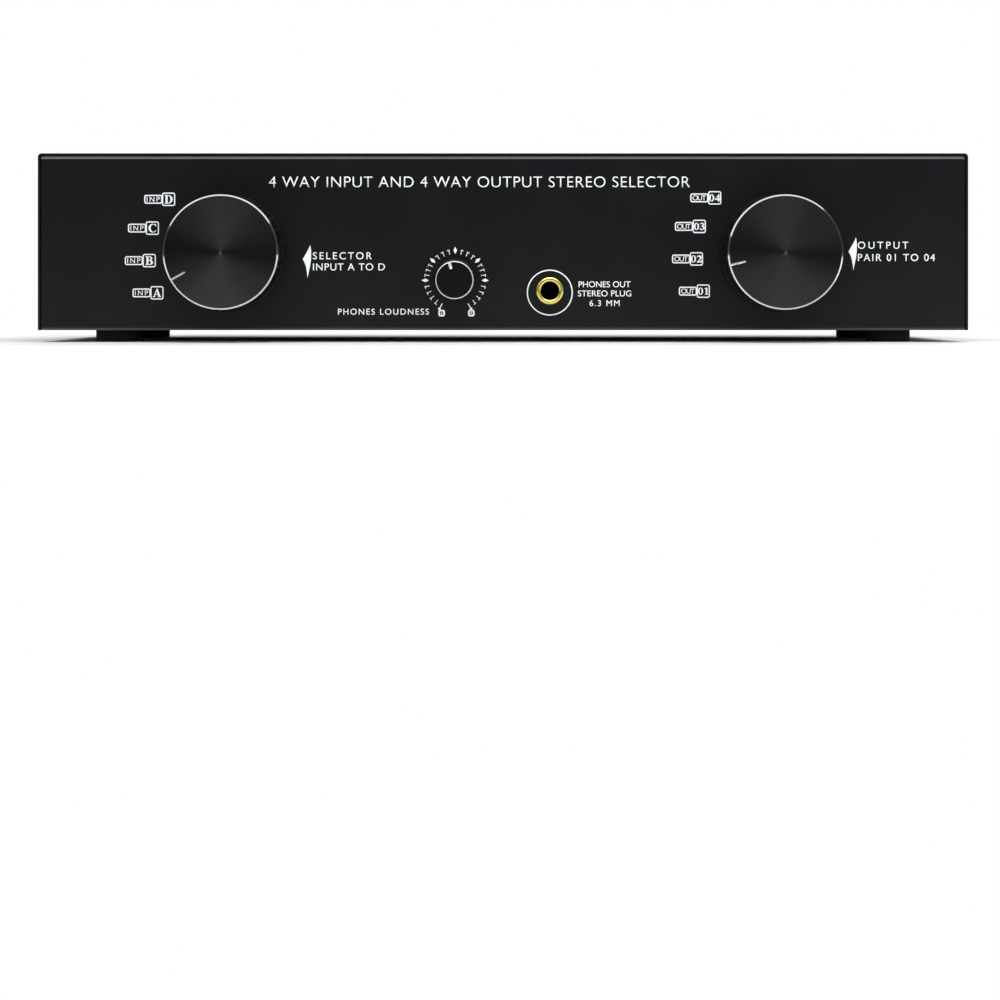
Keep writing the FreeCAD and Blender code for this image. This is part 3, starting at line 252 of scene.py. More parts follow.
def add_node(tree: bpy.types.NodeTree, kind: str, values: dict | None = None,
             links: dict | None = None, **settings: object) -> bpy.types.Node:
    """Add one shader node.

    Args:
        tree: Node tree of the material or the world.
        kind: Type name of the node, without the "ShaderNode" before it.
        values: Input name or number to value.
        links: Input name or number to the output socket that feeds it.
        settings: Properties of the node itself.

    Returns:
        The new node.
    """
    made = tree.nodes.new("ShaderNode" + kind)
    for name, value in settings.items():
        setattr(made, name, value)
    for name, value in (values or {}).items():
        made.inputs[name].default_value = value
    for name, source in (links or {}).items():
        tree.links.new(source, made.inputs[name])
    return made


@dataclass(frozen=True)
class Finish:
    """One real finish, with its colours, its gloss and its finest pattern.

    The grain is the width of one bump or ring in mm, and depth its height in mm. Clouds, so many a metre,
    and the fine pattern's share together carry the finish from its colour to its shade.
    """

    name: str
    colour: str
    shade: str
    grain_kind: Grain
    grain: float
    depth: float
    roughness: float
    metallic: float = 0.0
    specular: float = 0.5
    coat: float = 0.0
    anisotropy: float = 0.0
    gloss_spread: float = 0.06
    clouds: float = 45.0
    fine_share: float = 0.5
    pale_below: float = 0.4
    dark_above: float = 1.1

    def pattern(self, tree: bpy.types.NodeTree, centre: Place) -> bpy.types.NodeSocket:
        """Draw the finest pattern round a centre in mm and return its height from 0 to 1."""
        spot = add_node(tree, "TexCoord").outputs["Object"]
        centred = add_node(tree, "Mapping", {"Location": [-at * MM for at in centre]},
                           {"Vector": spot}, vector_type="POINT").outputs[0]
        per_metre = 1 / (self.grain * MM)
        bands_per_metre = per_metre * math.tau / WAVE_PHASE
        if self.grain_kind is Grain.TURNED:
            shape = {"Scale": bands_per_metre, "Distortion": 0.6, "Detail": 3.0, "Detail Scale": 1.5}
            return add_node(tree, "TexWave", shape, {"Vector": centred}, wave_type="RINGS",
                            rings_direction="Y").outputs["Fac"]
        if self.grain_kind is Grain.WOVEN:
            bands = [add_node(tree, "TexWave", {"Scale": bands_per_metre, "Distortion": 0.3},
                              {"Vector": centred}, bands_direction=way).outputs["Fac"] for way in "XZ"]
            return add_node(tree, "Math", None, {0: bands[0], 1: bands[1]},
                            operation="MULTIPLY").outputs[0]
        detail = {Grain.PEEL: 2.0, Grain.MOULDED: 1.0, Grain.SPECKLED: 5.0, Grain.INK: 6.0}[self.grain_kind]
        return add_node(tree, "TexNoise", {"Scale": per_metre, "Detail": detail, "Roughness": 0.55},
                        {"Vector": centred}).outputs["Fac"]

    def material(self, centre: Place = (0.0, 0.0, 0.0)) -> bpy.types.Material:
        """Build the finish as a material whose pattern is centred on a place in mm."""
        made = bpy.data.materials.new(self.name)
        made.use_nodes = True
        tree = made.node_tree
        shader = tree.nodes["Principled BSDF"]
        for name, value in {"Metallic": self.metallic, "Specular IOR Level": self.specular,
                            "Coat Weight": self.coat, "Anisotropic": self.anisotropy,
                            "Anisotropic Rotation": 0.25, "Coat Roughness": 0.12}.items():
            shader.inputs[name].default_value = value
        fine = self.pattern(tree, centre)
        spot = add_node(tree, "TexCoord").outputs["Object"]
        cloud = add_node(tree, "TexNoise", {"Scale": self.clouds, "Detail": 4.0}, {"Vector": spot})
        blend = add_node(tree, "Math", {1: self.fine_share}, {0: fine, 2: cloud.outputs["Fac"]},
                         operation="MULTIPLY_ADD")
        span = {"From Min": self.pale_below, "From Max": self.dark_above}
        share = add_node(tree, "MapRange", span, {"Value": blend.outputs[0]})
        tone = add_node(tree, "Mix", {"A": linear(self.colour), "B": linear(self.shade)},
                        {"Factor": share.outputs[0]}, data_type="RGBA")
        low, high = self.roughness - self.gloss_spread, self.roughness + self.gloss_spread
        gloss = add_node(tree, "MapRange", {"To Min": low, "To Max": high},
                         {"Value": share.outputs[0]})
        relief = add_node(tree, "Bump", {"Distance": self.depth * MM, "Strength": 1.0},
                          {"Height": fine})
        tree.links.new(tone.outputs["Result"], shader.inputs["Base Color"])
        tree.links.new(gloss.outputs[0], shader.inputs["Roughness"])
        tree.links.new(relief.outputs[0], shader.inputs["Normal"])
        if self.anisotropy:
            spin = add_node(tree, "Tangent", direction_type="RADIAL", axis="Y")
            tree.links.new(spin.outputs[0], shader.inputs["Tangent"])
        return made


# Polyester powder baked on steel: a fine satin peel that keeps highlights soft
POWDER_COAT = Finish("powder_coated_steel", "#0b0e11", "#101316", Grain.PEEL, 0.7, 0.008, 0.38, specular=0.25,
                     gloss_spread=0.02)
# Pale colour mixed into the same coat over the tray's bends: a painted highlight for the overhead light that
# the bends catch
BEND_HIGHLIGHT_PAINT = "#a2a8ae"
# Turned and anodised aluminium: rings too fine to see pull each highlight into a wedge
ANODISED = Finish("black_anodised_aluminium", "#4c4e50", "#3e4042", Grain.TURNED, 0.35, 0.0012, 0.32,
                  metallic=1.0, anisotropy=0.85, gloss_spread=0.03)
# The same anodised metal blasted before its bath, rougher; its colour is painted far darker than the turned
# face, a painted shade that keeps the grip dark from every side
BLASTED_WITH_PAINTED_SHADE = Finish("blasted_anodised_aluminium_with_painted_shade", "#1b1d1f", "#141517", Grain.SPECKLED, 0.3, 0.004, 0.42,
                 metallic=0.8, specular=0.4)
# The same aluminium with the black skin cut away by a diamond tool: nearly a mirror
BRIGHT_CUT = Finish("diamond_cut_aluminium", "#f2f2f0", "#dcdcda", Grain.TURNED, 0.2, 0.0006, 0.14,
                    metallic=1.0, gloss_spread=0.04)
# The same cut made with a rounder tool: an even satin line
SATIN_CUT = Finish("satin_cut_aluminium", "#f4f4f2", "#e4e4e2", Grain.TURNED, 0.2, 0.0006, 0.5,
                   metallic=0.7, gloss_spread=0.04)
# Nickel plate on turned brass: warm grey, bright on every edge
NICKEL = Finish("nickel_plated_brass", "#fbf8f0", "#e8e4d8", Grain.TURNED, 0.3, 0.002, 0.3, metallic=0.55)
# The same plating deep in a bore with its tool marks, painted dark brown-grey as painted shade inside the
# bore
PAINTED_BORE_SHADE = Finish("nickel_with_painted_shade_in_bore", "#6f6858", "#4a4438", Grain.TURNED, 0.5, 0.01, 0.3, metallic=1.0)
# Thin gold plate on turned brass: strong yellow with a slight green in the shade
GOLD = Finish("gold_plated_brass", "#fff096", "#f2dd6c", Grain.TURNED, 0.25, 0.0015, 0.2, metallic=0.9)
# Polycarbonate, moulded: clean even red with a soft shine
RED_PLASTIC = Finish("moulded_red_polycarbonate", "#f4201f", "#e4171b", Grain.MOULDED, 2.5, 0.01, 0.36)
# The same moulding in black: only its highlights show its form
BLACK_PLASTIC = Finish("moulded_black_polycarbonate", "#0b0c0d", "#08090a", Grain.MOULDED, 2.5, 0.01, 0.24,
                       specular=0.4)
# ABS with a spark-eroded mould surface: dull black
BLOCK_PLASTIC = Finish("moulded_black_abs", "#141516", "#101112", Grain.PEEL, 0.4, 0.012, 0.5, specular=0.35)
# Nitrile rubber: dull, a little grey where it catches light
FOOT_RUBBER = Finish("nitrile_rubber", "#17181a", "#202123", Grain.SPECKLED, 0.5, 0.02, 0.72, specular=0.3)
# Black oxide on steel: thin oily film with a dark shine
BLACK_OXIDE = Finish("black_oxide_steel", "#1a1a1c", "#101012", Grain.SPECKLED, 0.6, 0.004, 0.33,
                     metallic=0.6)
# Screen-printed epoxy ink: dense flat white
WHITE_INK = Finish("white_screen_print", "#f6f8fa", "#ebeef0", Grain.INK, 0.3, 0.001, 0.6, specular=0.3)
# The same ink in black, on the white discs
BLACK_INK = Finish("black_screen_print", "#141517", "#191a1c", Grain.INK, 0.3, 0.001, 0.6, specular=0.3)
# Glass cloth in epoxy under green lacquer
CIRCUIT_BOARD = Finish("green_circuit_board", "#14502c", "#0f4425", Grain.WOVEN, 0.9, 0.01, 0.38)
# Zinc die casting, plated: grey with a fine sparkle
ZINC = Finish("plated_zinc_casting", "#b4b6b8", "#989a9d", Grain.SPECKLED, 0.8, 0.01, 0.4, metallic=1.0)
# Phenolic paper laminate: brown and waxy
PHENOLIC = Finish("phenolic_laminate", "#6b3d1f", "#5a3219", Grain.SPECKLED, 1.2, 0.006, 0.45)
# Tin on brass sheet: pale with a faint yellow
TINNED = Finish("tinned_brass", "#d2cdb9", "#b6b09a", Grain.MOULDED, 1.5, 0.004, 0.3, metallic=1.0)
# Free-cutting steel from a lathe
STEEL = Finish("turned_steel", "#b9babd", "#9c9da0", Grain.TURNED, 0.3, 0.002, 0.3, metallic=1.0)
# Natural nylon: milky, slightly yellow
NYLON = Finish("natural_nylon", "#d8d2bf", "#cac3ad", Grain.MOULDED, 2.0, 0.006, 0.45)
# Pressed tinplate
TINPLATE = Finish("pressed_tinplate", "#aeb0b2", "#96989b", Grain.MOULDED, 3.0, 0.01, 0.36, metallic=1.0)
# Cement round a wire-wound resistor: chalky
CEMENT = Finish("resistor_cement", "#c9bfa3", "#b5ab8f", Grain.SPECKLED, 0.5, 0.03, 0.85, specular=0.2)
# PVC wire jacket
WIRE_JACKET = Finish("red_wire_jacket", "#a51520", "#8f101a", Grain.MOULDED, 1.5, 0.004, 0.4)


def dress(finish: Finish, *nodes: str) -> None:
    """Give CAD nodes a finish, in their own material slots."""
    coat = finish.material()
    for name in nodes:
        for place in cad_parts[name].material_slots:
            place.material = coat
    LOG.info("%s: %s", finish.name, ", ".join(nodes))


def paint(piece: Piece, *finishes: Finish, centre: Place = (0.0, 0.0, 0.0)) -> Piece:
    """Give a piece's mesh its finishes, their patterns centred on a place in mm."""
    for finish in finishes:
        piece.data.materials.append(finish.material(centre))
    return piece


# Sub-assemblies


@dataclass
class CaseWork:
    """Tray, cover, feet and the screws that hold them."""

    foot_places: tuple[Point, ...] = tuple(
        (x, CASE_MIDDLE + y) for x in (-138.0, 138.0) for y in (-39.0, 39.0))
    cover_screws: tuple[Point, ...] = ((-91.5, 49.25), (91.5, 49.25))
    cover_top: float = 66.2
    foot_seat: float = 2.4
    foot_profile: tuple[Ring, ...] = (
        (3.6, 2.4), (3.6, 0.15), (3.75, 0.0), (7.1, 0.0), (7.5, 0.12), (7.75, 0.45), (7.8, 0.8),
        (7.8, 3.9), (7.65, 4.2), (1.7, 4.2), (1.7, 2.4))
    head_profile: tuple[Ring, ...] = (
        (1.45, -5.0), (1.45, 0.0), (2.6, 0.0), (2.8, 0.12), (2.8, 0.55), (2.66, 0.9), (2.3, 1.18),
        (1.7, 1.36), (0.9, 1.4))
    segments: int = 48
    # Heights in mm of the painted highlight on the top bends and, fainter, on the bottom bends
    painted_highlight_zones: tuple[Place, ...] = ((64.1, 65.1, 1.0), (5.3, 4.4, 0.2))

    def tray_coat_with_painted_highlight(self) -> bpy.types.Material:
        """Make the powder coat with a pale painted highlight over the tray's bends.

        Each zone of painted highlight gives the heights in mm where it starts and where it is full, and its
        share there.

        Returns:
            The coat as a material.
        """
        coat = POWDER_COAT.material()
        coat.name = "powder_coat_painted_bend_highlight"
        tree = coat.node_tree
        shader = tree.nodes["Principled BSDF"]
        spot = add_node(tree, "TexCoord").outputs["Object"]
        up = add_node(tree, "SeparateXYZ", None, {0: spot}).outputs["Z"]
        masks = {}
        for number, (start, full, share) in enumerate(self.painted_highlight_zones):
            span = {"From Min": start * MM, "From Max": full * MM, "To Max": share}
            masks[number] = add_node(tree, "MapRange", span, {"Value": up},
                                     interpolation_type="SMOOTHSTEP").outputs[0]
        # Pale colour over the bends: a painted highlight that stands in for the light the bends catch
        painted_highlight = add_node(tree, "Math", None, masks, operation="MAXIMUM").outputs[0]
        tone = shader.inputs["Base Color"].links[0].from_socket
        highlight_tone = add_node(tree, "Mix", {"B": linear(BEND_HIGHLIGHT_PAINT)}, {"Factor": painted_highlight, "A": tone},
                        data_type="RGBA")
        tree.links.new(highlight_tone.outputs["Result"], shader.inputs["Base Color"])
        return coat

    def feet(self) -> Piece:
        """Turn one rubber foot and copy it to the four corners."""
        first, *others = self.foot_places
        foot = turned("foot_front_left", (*first, 0.0), self.foot_profile, self.segments, Axis.Z, bored=True)
        copies = [copied(foot, "foot", (x - first[0], y - first[1], 0.0)) for x, y in others]
        return joined("rubber_feet", [foot, *copies])

    def screws(self) -> Piece:
        """Turn one pan head with its cross recess; two hold the cover and four hold the feet."""
        head = screw_head("pan_head", self.head_profile, self.segments, Axis.Z)
        copies = [copied(head, "cover_screw", (x, y, self.cover_top)) for x, y in self.cover_screws]
        take(head)
        head.rotation_euler = (math.pi, 0, 0)
        settle(head)
        copies += [copied(head, "foot_screw", (x, y, self.foot_seat)) for x, y in self.foot_places]
        bpy.data.objects.remove(head)
        return joined("pan_head_screws", copies)

    def build(self) -> None:
        """Build and dress the case."""
        dress(POWDER_COAT, "top_cover")
        coat = self.tray_coat_with_painted_highlight()
        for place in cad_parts["chassis_tray"].material_slots:
            place.material = coat
        mount(paint(self.feet(), FOOT_RUBBER), CASE, "foot_rubber", "feet")
        mount(paint(self.screws(), BLACK_OXIDE), CASE, "black_screw", "case_screws")


RECESS_SPAN, RECESS_SLOT, RECESS_TALL = 3.3, 0.62, 1.9


def screw_head(name: str, profile: Sequence[Ring], segments: int, axis: Axis) -> Piece:
    """Turn a screw at the origin and cut its cross recess.

    Args:
        name: Name of the screw.
        profile: Rings from the tip to the top of the head, in mm.
        segments: Corners of each ring.
        axis: Direction in which the head points.

    Returns:
        The screw, settled.
    """
    screw = turned(name, (0.0, 0.0, 0.0), profile, segments, axis)
    top = profile[-1][1]
    for wide, tall in ((RECESS_SPAN, RECESS_SLOT), (RECESS_SLOT, RECESS_SPAN)):
        release()
        size = (wide, tall, RECESS_TALL) if axis is Axis.Z else (wide, RECESS_TALL, tall)
        place = (0, 0, top) if axis is Axis.Z else (0, top, 0)
        bpy.ops.mesh.primitive_cube_add(size=1.0, location=Vector(place) * MM, scale=Vector(size) * MM)
        cut(screw, settle(bpy.context.object))
    return tidy_mesh(screw)


NOSE_STEPS = (0.15, 0.5, 0.85, 1.2, math.pi / 2)
CUTTER_LENGTH = 8.0


def groove_end(axis: Place, face: float, reach: float, angle: float) -> Vector:
    """Place in mm of a groove's inner end on a knob's face."""
    turn = math.radians(angle)
    return Vector(axis) + Vector((math.cos(turn) * reach, face, math.sin(turn) * reach))


def cutter(end: Vector, angle: float, radius: float) -> Piece:
    """Make a round-nosed milling tool that lies across a knob's face.

    Args:
        end: Place of its round end, in mm.
        angle: Direction in which it runs outwards, in degrees.
        radius: Radius of the tool in mm.

    Returns:
        The tool, settled.
    """
    nose = [(radius * math.sin(step), radius * (1 - math.cos(step))) for step in NOSE_STEPS]
    tool = turned("cutter", (0.0, 0.0, 0.0), (*nose, (radius, CUTTER_LENGTH)), 20, Axis.Z)
    tool.rotation_euler = (0, math.pi / 2 - math.radians(angle), 0)
    tool.location = end * MM
    return settle(tool)


@dataclass
class SelectorKnob:
    """Large turned knob with a cut edge, a plain rim, a fluted grip, a skirt and a pointer."""

    body: str
    node: str
    across: float
    pointer: float
    up: float = 31.2
    panel: float = FRONT
    face: float = -22.3
    radius: float = 19.7
    cut_edge: float = 0.5
    rim: float = 3.5
    crest: float = 19.55
    flutes: int = 28
    steps: int = 12
    flute_depths: tuple[float, ...] = (0.55, 0.5, 0.33, 0.06)
    rim_break: float = 0.2
    pointer_length: float = 5.8
    pointer_radius: float = 0.36

    @property
    def axis(self) -> Place:
        """Zero point of the turning axis, on the panel."""
        return self.across, self.panel, self.up

    def blank(self) -> Piece:
        """Turn the blank from the face to the back."""
        rim_back = self.face + self.rim
        return turned(self.node + "_turned", self.axis, (
            (0.1, self.face + 0.4), (0.3, self.face + 0.3), (0.65, self.face),
            (self.radius - self.cut_edge, self.face), (self.radius, self.face + self.cut_edge),
            (self.radius, rim_back - self.rim_break), (self.radius - 0.15, rim_back),
            (self.crest, rim_back + 0.1), (self.crest, rim_back + 0.5), (self.crest, -3.1),
            (self.crest, -2.75), (20.2, -2.6), (20.5, -2.3), (20.5, -1.15), (20.35, -1.0),
            (10.0, -1.0), (10.0, -7.5), (3.3, -7.5)), self.flutes * self.steps)

    def phase(self, place: Vector) -> int:
        """Steps from the nearest flute's middle to a place in mm, round the axis."""
        angle = math.atan2(place.z - self.up, place.x - self.across)
        step = round(angle / math.tau * self.flutes * self.steps) % self.steps
        return min(step, self.steps - step)

    def flute(self, blank: Piece) -> None:
        """Press the flutes into the grip, one depth at a time."""
        front = self.panel + self.face + self.rim + 0.3
        back = self.panel - 2.9
        for offset, depth in enumerate(self.flute_depths):
            pick(blank, lambda at: (front < at.y < back and self.phase(at) == offset
                                    and math.hypot(at.x - self.across, at.z - self.up) > self.crest - 0.05))
            share = (self.crest - depth) / self.crest
            bpy.ops.transform.resize(value=(share, 1, share), center_override=Vector(self.axis) * MM)
        bpy.ops.object.mode_set(mode="OBJECT")

    def mill(self, knob: Piece) -> None:
        """Mill the pointer's groove from the rim inwards."""
        end = groove_end(self.axis, self.face, self.radius - self.pointer_length, self.pointer)
        cut(knob, paint(cutter(end, self.pointer, self.pointer_radius), BRIGHT_CUT, centre=self.axis))

    def brighten(self, knob: Piece) -> None:
        """Give both edges of the rim the bright finish, and all behind the front the blasted one, whose
        darker colour is partly painted shade.
        """
        front = self.face + self.panel
        back = front + self.rim
        for face in knob.data.polygons:
            at = face.center / MM
            reach = math.hypot(at.x - self.across, at.z - self.up)
            on_cut = front + HAIR < at.y < front + self.cut_edge - HAIR
            on_back = back - self.rim_break + HAIR < at.y < back - HAIR
            if (on_cut and reach > self.radius - self.cut_edge) or (on_back and reach > self.crest):
                face.material_index = 1
            elif at.y > front + self.cut_edge:
                face.material_index = 2

    def build(self) -> None:
        """Build, dress and mount the knob."""
        # The grip's blasted finish is rougher, and its darker colour is painted shade
        knob = paint(self.blank(), ANODISED, BRIGHT_CUT, BLASTED_WITH_PAINTED_SHADE, centre=self.axis)
        self.flute(knob)
        self.brighten(knob)
        self.mill(knob)
        tidy_mesh(knob)
        mount(knob, self.body, "knob_aluminium", self.node)


@dataclass
class VolumeKnob:
    """Small turned knob with a cut edge and a milled mark."""

    across: float = -16.75
    up: float = 21.7
    panel: float = FRONT
    face: float = -14.0
    mark_angle: float = 106.2
    mark_length: float = 2.6
    mark_radius: float = 0.5
    segments: int = 144
    cut_edge: float = 0.32
    rim_radius: float = 6.55

    def build(self) -> None:
        """Build, dress and mount the knob."""
        axis = (self.across, self.panel, self.up)
        edge = self.face + self.cut_edge
        knob = turned("volume_knob_turned", axis, (
            (self.rim_radius - self.cut_edge, self.face), (self.rim_radius, edge), (6.58, edge + 0.4),
            (6.8, -3.6), (6.85, -3.3), (7.2, -3.2), (7.5, -2.9), (7.5, -0.95), (7.35, -0.8), (6.0, -0.8),
            (6.0, -2.3), (3.8, -2.3), (3.8, -5.0), (3.05, -5.0)), self.segments)
        paint(knob, BLASTED_WITH_PAINTED_SHADE, SATIN_CUT, centre=axis)
        for side in knob.data.polygons:
            if self.panel + self.face + HAIR < side.center.y / MM < self.panel + edge - HAIR:
                side.material_index = 1
        end = groove_end(axis, self.face, self.rim_radius - self.mark_length, self.mark_angle)
        cut(knob, paint(cutter(end, self.mark_angle, self.mark_radius), SATIN_CUT, centre=axis))
        tidy_mesh(knob)
        mount(knob, "volume_control", "knob_aluminium", "volume_knob")


@dataclass
class PhoneSocket:
    """Gold-plated sleeve of the phone socket with a rounded mouth."""

    axis: Place = (16.4, FRONT, 18.0)
    profile: tuple[Ring, ...] = (
        (3.25, -2.6), (3.34, -2.95), (3.6, -3.15), (3.9, -3.2), (4.3, -3.15), (4.6, -2.95), (4.75, -2.6),
        (4.75, 1.5), (6.0, 1.5), (6.0, 2.5), (4.75, 2.5), (4.75, 6.0), (3.25, 6.0))
    segments: int = 96

    def build(self) -> None:
        """Build, dress and mount the sleeve, and dress what is behind it."""
        sleeve = turned("gold_sleeve", self.axis, self.profile, self.segments, bored=True)
        mount(paint(sleeve, GOLD, centre=self.axis), CASE, "gold_plate", "jack_sleeve")
        dress(BLOCK_PLASTIC, "phone_jack")
        dress(TINNED, "jack_contacts")


@dataclass
class BindingPosts:
    """Thirty-two posts with moulded caps, in four-post blocks on the rear panel."""

    panel: float = REAR
    pitch: float = 19.05
    columns: int = 16
    rows: tuple[tuple[str, float], ...] = (("black", 25.0), ("red", 50.4))
    groups: tuple[str, ...] = ("in_a", "in_b", "in_c", "in_d", "out_1", "out_2", "out_3", "out_4")
    screw_row: float = 37.7
    grooves: int = 12
    steps: int = 8
    groove_floor: float = 5.7
    groove_back: float = 13.6
    bore_start: float = 8.0
    bore_reach: float = 2.63
    wire_hole: Ring = (1.2, 6.8)
    stem_profile: tuple[Ring, ...] = (
        (0.75, -13.0), (0.75, -5.45), (3.3, -5.45), (3.3, 27.1), (3.28, 27.36), (3.2, 27.58), (3.08, 27.73),
        (2.96, 27.8), (2.84, 27.74), (2.73, 27.58), (2.66, 27.36), (2.6, 27.0), (2.1, 24.2), (2.0, 23.6),
        (2.0, 9.3), (0.2, 8.7))
    cap_profile: tuple[Ring, ...] = (
        (3.38, 5.0), (3.6, 4.8), (5.95, 4.8), (6.25, 4.92), (6.4, 5.25), (6.4, 13.3), (6.4, 13.8),
        (6.4, 25.5), (6.34, 25.85), (6.16, 26.2), (5.86, 26.5), (5.45, 26.68), (5.3, 26.78), (5.22, 26.95),
        (5.1, 27.18), (4.88, 27.3), (3.78, 27.3), (3.5, 27.22), (3.38, 27.0))
    screw_profile: tuple[Ring, ...] = (
        (1.25, -8.5), (1.25, 0.0), (2.3, 0.0), (2.5, 0.15), (2.5, 0.6), (2.36, 1.05), (2.0, 1.38),
        (1.45, 1.6), (0.8, 1.7))

    def column_places(self) -> list[float]:
        """X of each column of posts in mm."""
        return [self.pitch * (column - (self.columns - 1) / 2) for column in range(self.columns)]

    def in_groove(self, at: Vector) -> bool:
        """Tell whether a place in mm, on a cap at the origin, lies in a groove."""
        step = round(math.atan2(at.z, at.x) / math.tau * self.grooves * self.steps) % self.steps
        return step in (0, 1, self.steps - 1) and at.y > self.groove_back

    def cap(self) -> Piece:
        """Turn one cap at the origin and press its grooves in, ring by ring."""
        cap = turned("cap_master", (0.0, 0.0, 0.0), self.cap_profile, self.grooves * self.steps, bored=True)
        for radius in sorted({ring[0] for ring in self.cap_profile if ring[0] > self.groove_floor}):
            found = pick(cap, lambda at: self.in_groove(at) and abs(math.hypot(at.x, at.z) - radius) < 0.01)
            if found:
                share = self.groove_floor / radius
                bpy.ops.transform.resize(value=(share, 1, share), center_override=(0, 0, 0))
        return tidy_mesh(cap, 40.0)

    def caps(self) -> None:
        """Copy the cap to every post, black below and red above."""
        for (colour, up), finish in zip(self.rows, (BLACK_PLASTIC, RED_PLASTIC)):
            master = paint(self.cap(), finish)
            for column, across in enumerate(self.column_places()):
                node = f"{colour}_cap_{self.groups[column // 2]}_{('left', 'right')[column % 2]}"
                cap = copied(master, node + "_moulded", (across, self.panel, up))
                mount(cap, node, colour + "_plastic", node)
            bpy.data.objects.remove(master)

    def stems(self) -> Piece:
        """Turn one post, drill its cross hole and copy it to every place."""
        stem = paint(turned("stem_master", (0.0, 0.0, 0.0), self.stem_profile, 48), NICKEL, PAINTED_BORE_SHADE)
        # The faces inside the bore take the dark finish: painted shade deep in the bore
        for side in stem.data.polygons:
            middle = side.center / MM
            in_bore = middle.y > self.bore_start and math.hypot(middle.x, middle.z) < self.bore_reach
            side.material_index = int(in_bore)
        release()
        radius, along = self.wire_hole
        bpy.ops.mesh.primitive_cylinder_add(vertices=24, radius=radius * MM, depth=12 * MM,
                                            location=(0, along * MM, 0))
        cut(stem, settle(bpy.context.object))
        tidy_mesh(stem)
        copies = [copied(stem, "stem", (across, self.panel, up))
                  for _, up in self.rows for across in self.column_places()]
        bpy.data.objects.remove(stem)
        return joined("nickel_posts", copies)

    def screws(self) -> Piece:
        """Make one block screw and copy it between the rows."""
        screw = screw_head("block_screw", self.screw_profile, 40, Axis.Y)
        copies = [copied(screw, "screw", (across, self.panel, self.screw_row))
                  for across in self.column_places()]
        bpy.data.objects.remove(screw)
        return joined("block_screws", copies)

    def build(self) -> None:
        """Build, dress and mount posts, caps and screws."""
        self.caps()
        mount(self.stems(), CASE, "post_metal", "terminal_stems")
        mount(paint(self.screws(), BLACK_OXIDE), CASE, "black_screw", "terminal_screws")
        dress(BLOCK_PLASTIC, "terminal_blocks")


# Letter forms: bold roman capitals and figures, drawn one unit high


def arc(middle: Point, reach: Point, start: float, end: float, count: int = 14) -> list[Point]:
    """Points of an ellipse's arc from a start to an end angle in degrees."""
    turns = [math.radians(start + (end - start) * step / count) for step in range(count + 1)]
    return [(middle[0] + reach[0] * math.cos(turn), middle[1] + reach[1] * math.sin(turn)) for turn in turns]


def dots(places: str) -> list[Point]:
    """Read the points of an outline, written in hundredths as "across,up" and parted by blanks."""
    pairs = (place.split(",") for place in places.split())
    return [(int(across) / 100, int(up) / 100) for across, up in pairs]


ROMAN: dict[str, list[list[Point]]] = {
    "A": [dots("0,0 34,0 34,6 25,9 31,27 60,27 67,9 58,6 58,0 102,0 102,6 93,9 58,100 48,100 12,9 0,6"),
          dots("34,35 46,70 58,35")],
    "B": [[*dots("0,0"), *arc((0.52, 0.28), (0.36, 0.28), -90, 75),
          *arc((0.48, 0.76), (0.32, 0.24), -65, 90), *dots("0,100 0,94 11,91 11,9 0,6")], [*dots("35,8"),
          *arc((0.44, 0.28), (0.19, 0.2), -90, 90), *dots("35,48")], [*dots("35,56"),
          *arc((0.42, 0.74), (0.16, 0.18), -90, 90), *dots("35,92")]],
    "C": [[*dots("86,67 86,100 80,100 76,94"), *arc((0.5, 0.5), (0.5, 0.51), 62, 306, 24), *dots("90,20 "
               "85,25"), *arc((0.56, 0.5), (0.31, 0.43), 315, 45, 18), *dots("80,67")]],
    "D": [[*dots("0,0"), *arc((0.42, 0.5), (0.52, 0.5), -90, 90, 18), *dots("0,100 0,94 11,91 11,9 "
               "0,6")], [*dots("35,8"), *arc((0.4, 0.5), (0.28, 0.42), -90, 90, 16), *dots("35,92")]],
    "0": [arc((0.36, 0.5), (0.36, 0.51), 0, 345, 23), arc((0.36, 0.5), (0.14, 0.43), 0, 345, 23)],
    "1": [dots("10,0 66,0 66,6 50,9 50,100 40,100 8,88 8,82 27,84 27,9 10,6")],
    "2": [dots("2,0 66,0 73,29 66,29 56,20 29,20 52,42 65,58 68,74 62,90 49,99 33,100 16,96 4,85 0,70 "
               "6,70 13,80 24,84 36,81 43,70 41,55 31,38 2,7")],
    "3": [dots("0,76 7,91 20,99 36,100 53,96 63,86 63,73 56,62 47,56 60,50 69,40 69,25 61,10 45,1 26,-1 "
               "10,2 0,10 0,19 9,25 20,20 29,10 38,10 46,18 47,31 41,42 30,47 18,48 18,54 30,58 39,66 "
               "42,77 37,86 27,89 15,86 6,74")],
    "4": [dots("38,0 62,0 62,22 74,22 74,38 62,38 62,100 50,100 0,36 0,22 38,22"), dots("10,38 38,38 "
               "38,73")],
}


